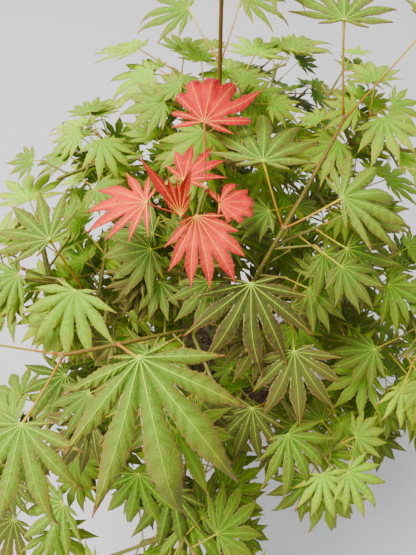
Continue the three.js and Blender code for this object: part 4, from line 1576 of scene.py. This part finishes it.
SHOW_GRID = dict(columns=(-1, -0.91, -0.45, 0, 0.45, 0.91, 1), joined_rows=4, teeth=13, side_veins=6,
                 vein_steps=14)
OLD_GRID = SHOW_GRID | dict(notch=0.31, half_width=0.102, tooth=0.15, fold=-0.36, droop=0.12, quilt=0.016)
YOUNG_GRID = SHOW_GRID | dict(half_width=0.092, tooth=0.11, droop=0.03, vein=0.0048, quilt=0.012, curl=0.5,
                              lean=0.7)
YOUNG_GAPS = (0.75, 0.85, 0.8, 1.25, 0.8, 1.5, 0.9, 0.7)
# Each form's shade is painted light and shade on its shown blades: below 0 on the young, folded, fan and half
# blades, painted shade; 1 on the turned blade, painted light.
FORMS = {
    Shape.MATURE: BladeForm(**OLD_GRID),
    Shape.TURNED: BladeForm(skew=24, reaches=(1.25, 1.1, 1.08, 1.1, 1.15, 1.1, 1.0, 0.95, 1.1), shade=1.0,
                            **OLD_GRID),
    Shape.LONG: BladeForm(reaches=(0.7, 0.95, 1.0, 1.08, 1.3, 1.2, 1.08, 1.05, 0.9), shade=0.5, **OLD_GRID),
    Shape.GROWN: BladeForm(),
    Shape.FINE: BladeForm(teeth=0, columns=(-1, 0, 1), joined_rows=2, margin_from=2.0, tip_from=2.0,
                          vein_steps=8, lift=0.0065),
    Shape.YOUNG: BladeForm(notch=0.43, gaps=YOUNG_GAPS, fold=0.3, shade=-1.0, **YOUNG_GRID),
    Shape.SPREAD: BladeForm(notch=0.43, gaps=(0.5, 0.8, 0.9, 1.25, 1.3, 0.9, 1.1, 0.6), skew=-18,
                            reaches=(1.2, 1, 1, 1.2, 1, 1, 1, 1.1, 1.9), fold=0.3, shade=0.6, **YOUNG_GRID),
    Shape.HANGING: BladeForm(notch=0.45, gaps=(0.7, 0.9, 1.2, 0.85, 1.1, 1.45, 1.6, 0.8), turn=19.5,
                             reaches=(1, 1, 1, 1, 1, 1.08, 1.05, 1, 1.3), fold=0.34, shade=0.4, **YOUNG_GRID),
    Shape.FAN: BladeForm(notch=0.5, gaps=(0.5, 0.65, 1.3, 1.8, 1.82, 1.76, 0.8, 0.5),
                         blunt=(-3, -1, 0, 1, 2, 3),
                         reaches=(2.2, 1.5, 1.7, 0.98, 0.9, 0.92, 0.92, 1.1, 2.4), fold=-0.16, shade=-0.6,
                         **YOUNG_GRID),
    Shape.FOLDED: BladeForm(notch=0.5, turn=13, reaches=(0.3, 0.4, 0.5, 0.88, 0.56, 0.64, 1.2, 0.7, 0.4),
                            fold=1.1, shade=-0.8, **YOUNG_GRID),
    Shape.HALF: BladeForm(notch=0.5, gaps=(0.8, 1.7, 1.75, 1.75, 1.7, 0.5, 0.45, 0.5), blunt=(-3, -2, -1, 0),
                          reaches=(1.2, 0.9, 0.85, 0.9, 0.9, 1.05, 1.75, 0.5, 3.0), fold=0.2, shade=-0.3,
                          **YOUNG_GRID),
}


def underside(form: BladeForm) -> BladeForm:
    """The same form a little narrower and with few faces, for the underside."""
    return replace(form, teeth=0, columns=(-1, 0, 1), joined_rows=2, half_width=0.88 * form.half_width,
                   quilt=0.0, side_veins=0, margin_from=2.0, tip_from=2.0)


@dataclass
class Foliage:
    """All leaves of the plant: blades, margins, veins, undersides and stalks."""

    growth: Growth
    bending: Bending = field(default_factory=Bending)
    underside_drop: float = 0.006
    inner_radius: float = 110
    inner_height: float = 370
    darker: Pair = (0.22, 0.45)
    lighter: Pair = (0.8, 0.94)
    bronze_chance: Pair = (0.1, 0.5)
    bronze_side: Pair = (60, 20)
    fine_darker: float = 0.5
    under_coral: tuple[Triple, Triple] = ((-20, -100, 490), (70, -20, 1000))
    stalk_sag: float = 0.025
    stocks: dict[str, Stock] = field(default_factory=lambda: defaultdict(Stock))

    def tint_of(self, leaf: Leaf) -> Tint:
        """The leaf's tint, varied on grown leaves, and darker inside and low in the crown, partly as painted
        shade.

        Args:
            leaf: the leaf.

        Returns:
            Its tint.
        """
        if leaf.shown:
            return leaf.tint
        x, y, z = leaf.joint
        chance = (int(x * 131 + y * 517 + z * 29) % 100) / 100
        order = [Tint.DEEP, Tint.MID, Tint.LIGHT, Tint.LIME]
        i = order.index(leaf.tint)
        # Inside and low in the crown a leaf more often takes a darker tint: partly for its age, partly as
        # painted shade.
        inside = int(np.hypot(x, y) < self.inner_radius or z < self.inner_height)
        if chance < self.darker[inside]:
            i -= 1
        elif chance > self.lighter[inside]:
            i += 1
        if leaf.shape is Shape.FINE and chance > self.fine_darker:
            i -= 1
        low, high = self.bronze_chance
        # Bronze goes to some of the darkest leaves towards the front and to those under the coral shoots:
        # partly the bronze of older leaves, partly painted shade.
        shaded = i < 1 and low < chance < high and x < self.bronze_side[0] and y < self.bronze_side[1]
        lowest, highest = self.under_coral
        below = all(a < value < b for a, value, b in zip(lowest, leaf.joint, highest))
        return Tint.BRONZE if shaded or below else order[min(max(i, 0), 3)]

    def build(self) -> None:
        """Makes every piece of the foliage."""
        groups: dict[tuple[Shape, Tint], list[Leaf]] = defaultdict(list)
        for leaf in self.growth.ledger.leaves:
            groups[leaf.shape, self.tint_of(leaf)].append(leaf)
        for (shape, tint), leaves in groups.items():
            self.gather(shape, tint, leaves)
        self.gather_stalks()
        for tint, finish in BLADE_FINISH.items():
            self.make(f"blades_{tint.value}", finish.make(tint.value), finish.slot)
        for slot, finish in TRIMS:
            self.make(finish.name, finish.make(), slot)

    def make(self, name: str, material: bpy.types.Material, slot: str) -> None:
        """Turns the stock of a name into a piece."""
        self.stocks[name].piece(name, material, slot, self.stocks[name].nodes())

    def gather(self, shape: Shape, tint: Tint, leaves: list[Leaf]) -> None:
        """Lays the leaves of one shape and tint, and enters their parts in their stocks.

        Args:
            shape: their shape.
            tint: their tint.
            leaves: the leaves.
        """
        form, finish = FORMS[shape], BLADE_FINISH[tint]
        blade, lower = Blade(form), Blade(underside(form))
        kind = "rosy" if tint is Tint.CORAL else "green"
        # Each leaf's lightness goes by its joint's height, or by its form's shade, which is painted light and
        # shade.
        shade = np.array([int(leaf.joint[2] * 97) % 100 / 100 if form.shade is None else form.shade
                          for leaf in leaves])[:, None]
        grid = self.bending.lay(form, leaves, blade.sheet)
        body, margin = f"blades_{tint.value}", finish.margin
        for name, faces in ((body, blade.body), (margin, blade.margin)):
            if len(faces):
                used, inverse = np.unique(faces, return_inverse=True)
                self.stocks[name].add(grid[:, used], inverse.reshape(-1, 4), shade=shade, rim=blade.rim[used],
                                      along=blade.out[used], core=blade.core[used])
        ribs = self.bending.lay(form, leaves, blade.ribs, blade.rib_lift)
        veins, backs = f"veins_{kind}", f"backs_{kind}"
        self.stocks[veins].add(ribs, blade.rib_faces, along=np.maximum(blade.rib_main, finish.side_vein))
        back = self.bending.lay(lower.form, leaves, lower.sheet, -self.underside_drop)
        self.stocks[backs].add(back, lower.body[:, ::-1], shade=shade, rim=lower.rim)
        for name in (body, margin, veins, backs):
            self.stocks[name].masses.update(leaf.mass for leaf in leaves)

    def gather_stalks(self) -> None:
        """Leaf stalks as slim tubes that thicken at both ends and sag a little."""
        kinds: dict[str, list[Leaf]] = defaultdict(list)
        for leaf in self.growth.ledger.leaves:
            colour = "red" if leaf.tint is Tint.CORAL else "yellow" if leaf.shown else "green"
            kinds[f"stalks_{colour}"].append(leaf)
        s = np.linspace(0, 1, 7)
        for name, leaves in kinds.items():
            foot = np.array([leaf.foot for leaf in leaves])[:, None]
            joint = np.array([leaf.joint + 0.8 * leaf.ahead for leaf in leaves])[:, None]
            length = np.linalg.norm(joint - foot, axis=2)
            paths = foot + (joint - foot) * s[None, :, None]
            paths[:, :, 2] -= self.stalk_sag * length * 4 * s * (1 - s)
            size = np.array([leaf.size for leaf in leaves])[:, None]
            radii = (0.34 + 0.006 * size) * (1 + 0.8 * np.exp(-s / 0.07) + 0.5 * np.exp(-(1 - s) / 0.05))
            self.stocks[name].add(*tubes(paths, radii, 6), along=np.repeat(s, 6))
            self.stocks[name].masses.update(leaf.mass for leaf in leaves)


@dataclass
class Wood:
    """The trunk, the boughs, and the stems and twigs of the masses."""

    growth: Growth
    flare: float = 5.0
    flare_share: float = 0.12
    collar_length: float = 9
    scar_gap: float = 31
    scar_width: float = 0.0022
    scar: float = 0.10
    ribs: int = 5
    rib: float = 0.16
    rib_share: float = 0.09
    ripple_length: float = 26
    sunned: dict[str, Pair] = field(default_factory=lambda: {
        "left_front": (1.6, 0.7), "right_top": (1.5, 0.85), "leader": (1.0, 0.7)})

    def limb(self, stock: Stock, path: Array, radii: Pair, grid: tuple[int, int], seed: int, age: Pair,
             collar: float = 0.0, flare: float = 0.0) -> None:
        """Adds a limb with the relief of its bark.

        The radius is the taper, the collar and flare that fade from the foot, a scar's ring every so often,
        and seeded ripples round and along.

        Args:
            stock: the stock that it is added to.
            path: the limb's middle line.
            radii: the radius at its foot and at its tip.
            grid: how many rings it has, and how many points each.
            seed: the seed of its relief.
            age: how old its bark is at its foot and at its tip.
            collar: how much thicker it is where it leaves its parent.
            flare: how much wider it is at the ground.
        """
        rings, sides = grid
        line = smooth_path(path, rings)
        s, angle = np.linspace(0, 1, rings), circle(sides)
        length = np.linalg.norm(np.diff(line, axis=0), axis=1).sum()
        radius = mix(radii, s) + flare * np.exp(-s / self.flare_share)
        radius = radius * (1 + collar * np.exp(-s * length / self.collar_length))
        scars = np.exp(-(((s * length / self.scar_gap + seed * 0.37) % 1) - 0.5) ** 2 / self.scar_width)
        around = np.stack(np.broadcast_arrays(np.cos(angle)[None], np.sin(angle)[None],
                                              (s * length / self.ripple_length)[:, None]), axis=-1)
        relief = 0.045 * ripple(around * [1.6, 1.6, 1.0], seed)
        relief += 0.02 * ripple(around * [5, 5, 0.8], seed + 50)
        ribs = self.rib * np.exp(-s / self.rib_share)[:, None] * np.cos(self.ribs * angle + seed)[None]
        full = radius[:, None] * (1 + relief + ribs * (flare > 0) + self.scar * scars[:, None])
        points, faces = tubes(line[None], full[None], sides)
        points[:, :, 2] = np.maximum(points[:, :, 2], self.growth.foot[2])
        stock.add(points, faces, age=np.repeat(mix(age, s), sides))

    def add_twigs(self, stock: Stock, twigs: Sequence[Array], radii: Pair, grid: tuple[int, int]) -> None:
        """Adds straight twigs that thicken at their ends and, a little, at their middle.

        Args:
            stock: the stock that they are added to.
            twigs: both ends of each.
            radii: the radius at foot and tip.
            grid: how many rings each has, and how many points each.
        """
        rings, sides = grid
        ends, s = np.array(twigs), np.linspace(0, 1, rings)
        paths = ends[:, :1] + (ends[:, 1:] - ends[:, :1]) * s[None, :, None]
        thick = mix(radii, s) * (1 + 0.35 * np.exp(-s / 0.06) + 0.3 * np.exp(-(1 - s) / 0.05)
                                 + 0.18 * np.exp(-((s - 0.5) / 0.05) ** 2))
        stock.add(*tubes(paths, np.broadcast_to(thick, paths.shape[:2]), sides), age=0.05)

    def build(self) -> None:
        """Makes the trunk, the boughs and the twigs of all masses."""
        growth, bark = self.growth, BarkFinish().make()
        trunk, boughs, stems, sunned = Stock(), Stock(), Stock(), Stock()
        self.limb(trunk, growth.limbs["trunk"], growth.trunk_radii, (110, 40), 3, (1.0, 0.6),
                  flare=self.flare)
        trunk.piece("trunk_bark", bark, "bark", ["trunk"])
        for i, bough in enumerate(BOUGHS):
            self.limb(boughs, growth.limbs[bough.name], bough.radii, (72, 16), 11 + i, (0.6, 0.15), 0.35)
        boughs.piece("bough_bark", bark, "bark", [f"bough_{bough.name}" for bough in BOUGHS])
        for k, (mass, stem) in enumerate(zip(MASSES, growth.stems)):
            self.limb(sunned if mass.name in self.sunned else stems, stem, HABIT.stem_radii, (60, 12), 40 + k,
                      self.sunned.get(mass.name, (0.15, 0.0)), 0.05)
        self.add_twigs(stems, sum(growth.twigs, []), HABIT.twig_radii, (12, 8))
        self.add_twigs(stems, growth.fine_twigs, HABIT.fine_radii, (7, 6))
        stems.piece("twig_bark", bark, "bark", MASS_NODES)
        orange = BarkFinish("sunned_bark", (0.34, 0.085, 0.012), (0.150, 0.125, 0.010), (0.36, 0.28, 0.05))
        sunned.piece("sunned_stems", orange.make(), "bark", [f"leaves_{name}" for name in self.sunned])


@dataclass
class Pot:
    """The nursery pot and the mix that fills it."""

    height: float = 187
    base_radius: float = 80
    rim_radius: float = 104
    wall: float = 2.4
    floor: float = 3
    foot_edge: float = 3
    lip_height: float = 9
    lip_proud: float = 3.4
    lip_edge: float = 1.6
    bands: Pair = (0.62, 0.68)
    band: float = 0.35
    sides: int = 96
    drains: int = 6
    drain_radius: float = 6
    drain_ring: float = 58
    level: float = 175.7
    drop: float = 5
    flat: float = 40
    mix_grid: tuple[int, int] = (70, 150)
    trunk_clear: float = 19
    browns: tuple[Triple, Triple] = ((0.030, 0.017, 0.010), (0.085, 0.050, 0.028))
    chip_browns: tuple[Triple, Triple] = ((0.10, 0.050, 0.024), (0.20, 0.115, 0.06))
    grain_greys: tuple[Triple, Triple] = ((0.55, 0.53, 0.48), (0.42, 0.40, 0.36))

    def radius_at(self, z: Array | float) -> Array | float:
        """The outside radius at a height."""
        return self.base_radius + (self.rim_radius - self.base_radius) * z / self.height

    def inside_at(self, z: float) -> float:
        """The inside radius at a height."""
        return self.radius_at(z) - self.wall

    def top_at(self, r: Array, inside: float) -> Array:
        """The mix's height at a radius: level round the trunk, and falling to the wall."""
        return self.level - self.drop * np.clip((r - self.flat) / (inside - self.flat), 0, 1)

    def profile(self) -> Array:
        """Rows of radius and height, from the axis under the floor, over the rim, back to the axis.

        Returns:
            The rows, in order.
        """
        top, lip, edge, foot = self.height, self.height - self.lip_height, self.lip_edge, self.foot_edge
        turn = np.linspace(0, np.pi / 2, 6)
        z = np.linspace(foot, lip - 6, 20)
        bands = sum(self.band * np.exp(-((z - share * top) / 3.0) ** 2) for share in self.bands)
        under, proud, inner = self.radius_at(lip), self.rim_radius + self.lip_proud, self.inside_at(top)
        return np.vstack([
            [[0.5, 0]],
            np.stack([self.base_radius - foot + foot * np.sin(turn), foot - foot * np.cos(turn)], axis=1),
            np.stack([self.radius_at(z) + bands, z], axis=1),
            [[under, lip - 3], [under + 0.6, lip - 0.6], [under + self.lip_proud - 0.6, lip],
             [under + self.lip_proud, lip + 0.8]],
            np.stack([proud - edge + edge * np.cos(turn), top - edge + edge * np.sin(turn)], axis=1),
            np.stack([inner + edge - edge * np.sin(turn), top - edge + edge * np.cos(turn)], axis=1),
            [[self.inside_at(self.floor), self.floor], [0.5, self.floor]],
        ])

    def build(self) -> None:
        """Makes the pot as its profile turned about the upright axis, and its filling."""
        profile, sides, angle = self.profile(), self.sides, circle(self.sides)
        r, z = profile[:, :1], profile[:, 1:]
        points = np.stack([r * np.cos(angle), r * np.sin(angle), z + 0 * angle], axis=-1)
        faces = np.vstack([grid_faces(len(profile), sides, closed=True), cap_faces(0, sides, True),
                           cap_faces((len(profile) - 1) * sides, sides, False)])
        shell = Stock().add(points.reshape(1, -1, 3), faces)
        self.drill(shell.piece("pot_shell", PotFinish().make(), "pot_plastic", ["pot"]))
        self.fill()
        self.strew("bark_chips", 760, (2.0, 7.5), (0.4, 1.3), 21, self.chip_browns)
        self.strew("pale_grains", 170, (1.0, 2.1), (0.8, 1.6), 22, self.grain_greys)

    def drill(self, pot: bpy.types.Object) -> None:
        """Cuts the drain holes through the pot's floor."""
        angle = circle(self.drains) + np.pi / self.drains
        middles = self.drain_ring * np.stack([np.cos(angle), np.sin(angle), 0 * angle], axis=1)
        paths = middles[:, None] + UP * np.linspace(-2, self.floor + 2, 4)[None, :, None]
        holes = Stock().add(*tubes(paths, np.full(paths.shape[:2], self.drain_radius), 28))
        tool = add_object("drill", bpy.data.meshes.new("drill"))
        tool.data.from_pydata(np.vstack(holes.points) * MM, [], np.vstack(holes.faces).tolist())
        cut = pot.modifiers.new("drain_holes", "BOOLEAN")
        cut.operation, cut.solver, cut.object = "DIFFERENCE", "EXACT", tool
        bpy.context.view_layer.update()
        mesh = bpy.data.meshes.new_from_object(pot.evaluated_get(bpy.context.evaluated_depsgraph_get()))
        pot.modifiers.clear()
        pot.data = mesh
        bpy.data.objects.remove(tool)

    def fill(self) -> None:
        """The potting mix as a crumbly surface with a skirt down to the pot's floor."""
        rings, sides = self.mix_grid
        inside = self.inside_at(self.level) - 1.2
        r = np.concatenate([np.linspace(0.4, inside, rings), [self.inside_at(5) - 1]])
        angle = circle(sides)
        place = r[:, None, None] * np.stack([np.cos(angle), np.sin(angle)], axis=-1)
        crumbs = 0.9 * ripple(place / 9, 5) + 0.7 * ripple(place / 3.1, 6) + 0.5 * ripple(place / 1.3, 8)
        most = 0.2 + 1.6 * np.clip(r / 30 - 0.7, 0, 1)
        z = self.top_at(r, inside)[:, None] + np.minimum(crumbs - 0.6, most[:, None])
        z[-1] = self.floor + 0.4
        faces = np.vstack([grid_faces(rings + 1, sides, closed=True)[:, ::-1], cap_faces(0, sides, False),
                           cap_faces(rings * sides, sides, True)])
        soil = Stock().add(np.concatenate([place, z[..., None]], axis=-1).reshape(1, -1, 3), faces)
        soil.piece("potting_mix", MixFinish("potting_mix", *self.browns).make(), "potting_mix", ["compost"])

    def strew(self, name: str, count: int, length: Pair, thickness: Pair, seed: int,
              colours: tuple[Triple, Triple]) -> None:
        """Strews small tapered bits over the mix.

        Args:
            name: the piece's name.
            count: how many bits there are.
            length: the shortest and longest bit.
            thickness: the thinnest and thickest bit.
            seed: the seed of their places.
            colours: the two colours of their finish.
        """
        rng = np.random.default_rng(seed)
        inside = self.inside_at(self.level) - 6
        r = np.sqrt(rng.uniform(0.03, 1, count)) * inside
        a = rng.uniform(0, 2 * np.pi, count)
        middle = np.stack([r * np.cos(a), r * np.sin(a), self.top_at(r, inside) - 0.1], axis=1)
        middle = middle[np.linalg.norm(middle[:, :2] - Growth.foot[:2], axis=1) > self.trunk_clear]
        count = len(middle)
        turn, tilt = rng.uniform(0, 2 * np.pi, count), rng.normal(0, 0.28, count)
        ahead = np.stack([np.cos(turn) * np.cos(tilt), np.sin(turn) * np.cos(tilt), np.sin(tilt)], axis=1)
        long = rng.uniform(*length, count)[:, None]
        thick = rng.uniform(*thickness, count)[:, None]
        paths = middle[:, None] + ahead[:, None] * (np.array([-0.5, -0.3, 0.25, 0.5]) * long)[..., None]
        bits = Stock().add(*tubes(paths, thick * np.array([0.35, 1.0, 0.8, 0.3]), 6))
        bits.piece(name, MixFinish(name, *colours).make(), "potting_mix", ["compost"], smooth=False)


@dataclass
class Buds:
    """Small buds at the tips of stems and twigs and at the feet of the shown leaves."""

    growth: Growth
    stem_size: float = 2.0
    foot_size: float = 2.1
    twig_size: float = 1.5
    slimness: float = 2.2

    def build(self) -> None:
        """Makes the cut stub, and pointed buds in all their places."""
        growth = self.growth
        rows = []
        for mass, stem in zip(MASSES, growth.stems):
            if mass.name == "coral":
                self.build_stub(stem)
            else:
                rows.append((stem[-1], heading_on(stem, 1), self.stem_size))
        rows += [(leaf.foot, unit(leaf.joint - leaf.foot + 20 * UP), self.foot_size)
                 for leaf in growth.ledger.leaves if leaf.shown]
        rows += [(twig[1], unit(twig[1] - twig[0]), self.twig_size) for twig in sum(growth.twigs, [])]
        spots, headings, sizes = (np.array(column) for column in zip(*rows))
        s = np.array([0, 0.25, 0.5, 0.75, 0.95])
        paths = spots[:, None] + headings[:, None] * (s[None] * sizes[:, None] * self.slimness)[..., None]
        buds = Stock().add(*tubes(paths, sizes[:, None] * np.array([0.5, 0.75, 0.7, 0.42, 0.08]), 8))
        finish = TrimFinish("buds", (0.34, 0.12, 0.03), (0.40, 0.28, 0.05))
        buds.piece("buds", finish.make(), "bark", MASS_NODES)

    def build_stub(self, stem: Array) -> None:
        """The pale stub where the new shoot was cut, on the end of its stem."""
        heading = unit(heading_on(stem, 1) + np.array([-0.25, -0.1, 0.2]))
        s = np.array([-1.0, 1.0, 3.6, 4.1])
        points, faces = tubes((stem[-1] + heading * s[:, None])[None], np.array([[1.1, 1.15, 1.1, 0.8]]), 10)
        stub = Stock().add(points, faces, along=np.repeat([0.0, 0.1, 0.8, 1.3], 10))
        finish = TrimFinish("cut_stub", (0.30, 0.36, 0.04), (0.80, 0.74, 0.46), along=True)
        stub.piece("cut_stub", finish.make(), "bark", ["leaves_coral"])


@dataclass(frozen=True)
class Lamp:
    """A large soft light: its place, its size, its power in watts and its colour."""

    name: str
    place: Triple
    size: float
    power: float
    colour: Triple

    def hang(self, aim: Triple) -> None:
        """Hangs the light and points it at a place."""
        lamp = bpy.data.lights.new(self.name, "AREA")
        lamp.shape, lamp.size, lamp.energy, lamp.color = "DISK", self.size, self.power, self.colour
        obj = add_object(self.name, lamp)
        obj.location = self.place
        obj.rotation_euler = (Vector(aim) - Vector(self.place)).to_track_quat("-Z", "Y").to_euler()


@dataclass
class Studio:
    """The plain pale floor, soft lights and the photograph's camera."""

    camera_place: Triple = (-0.020, -0.130, 0.810)
    camera_dip: float = 66.3
    clip: Pair = (0.01, 50)
    floor_size: float = 14.0
    floor_colour: Triple = (0.62, 0.62, 0.63)
    aim: Triple = (0, 0, 0.4)
    sky: Triple = (0.93, 0.95, 1.0)
    sky_strength: float = 0.59
    lamps: tuple[Lamp, ...] = (
        Lamp("sky_light", (-0.8, 0.5, 2.5), 1.2, 112, (1.0, 0.985, 0.95)),
        Lamp("side_light", (-2.0, -1.0, 1.6), 1.2, 41, (1.0, 0.97, 0.92)),
        Lamp("far_light", (1.7, 1.6, 1.5), 1.6, 13, (0.94, 0.97, 1.0)),
    )

    def build(self) -> None:
        """Lays the floor, hangs the lights and sets the sky and the camera."""
        self.lay_floor()
        for lamp in self.lamps:
            lamp.hang(self.aim)
        world = bpy.data.worlds.new("studio")
        world.use_nodes = True
        background = next(n for n in world.node_tree.nodes if n.type == "BACKGROUND")
        background.inputs["Color"].default_value = (*self.sky, 1)
        background.inputs["Strength"].default_value = self.sky_strength
        bpy.context.scene.world = world
        self.set_camera()

    def lay_floor(self) -> None:
        """A wide square of pale floor."""
        half = self.floor_size / 2
        mesh = bpy.data.meshes.new("floor")
        mesh.from_pydata([(x * half, y * half, 0) for x, y in ((-1, -1), (1, -1), (1, 1), (-1, 1))], [],
                         [(0, 1, 2, 3)])
        paint = Paint("pale_floor")
        low = tuple(0.94 * c for c in self.floor_colour)
        paint.set(Base_Color=paint.blend(paint.noise(3, 2), low, self.floor_colour), Roughness=0.9,
                  Specular_IOR_Level=0.2)
        mesh.materials.append(paint.material)
        add_object("floor", mesh)

    def set_camera(self) -> None:
        """The photograph's camera: its place, its dip below the level and its lens."""
        lens = bpy.data.cameras.new("photo_camera")
        lens.sensor_fit, lens.sensor_height, lens.sensor_width = "VERTICAL", SENSOR_MM, SENSOR_MM
        lens.lens = FOCAL_PIXELS / PHOTO_HEIGHT * SENSOR_MM
        lens.clip_start, lens.clip_end = self.clip
        camera = add_object("photo_camera", lens)
        camera.location = self.camera_place
        camera.rotation_euler = (np.radians(90 - self.camera_dip), 0, 0)
        bpy.context.scene.camera = camera


def write_sizes() -> None:
    """Brings the scene's positions up to date."""
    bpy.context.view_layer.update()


def main() -> None:
    """Grows the plant and builds every piece."""
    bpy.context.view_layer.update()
    growth = Growth()
    growth.grow()
    log.info("grown: %d leaves", len(growth.ledger.leaves))
    growth.grow_finer()
    log.info("with finer twigs: %d leaves", len(growth.ledger.leaves))
    Foliage(growth).build()
    Wood(growth).build()
    Buds(growth).build()
    Pot().build()
    Studio().build()
    write_sizes()


if __name__ == "__main__":
    main()
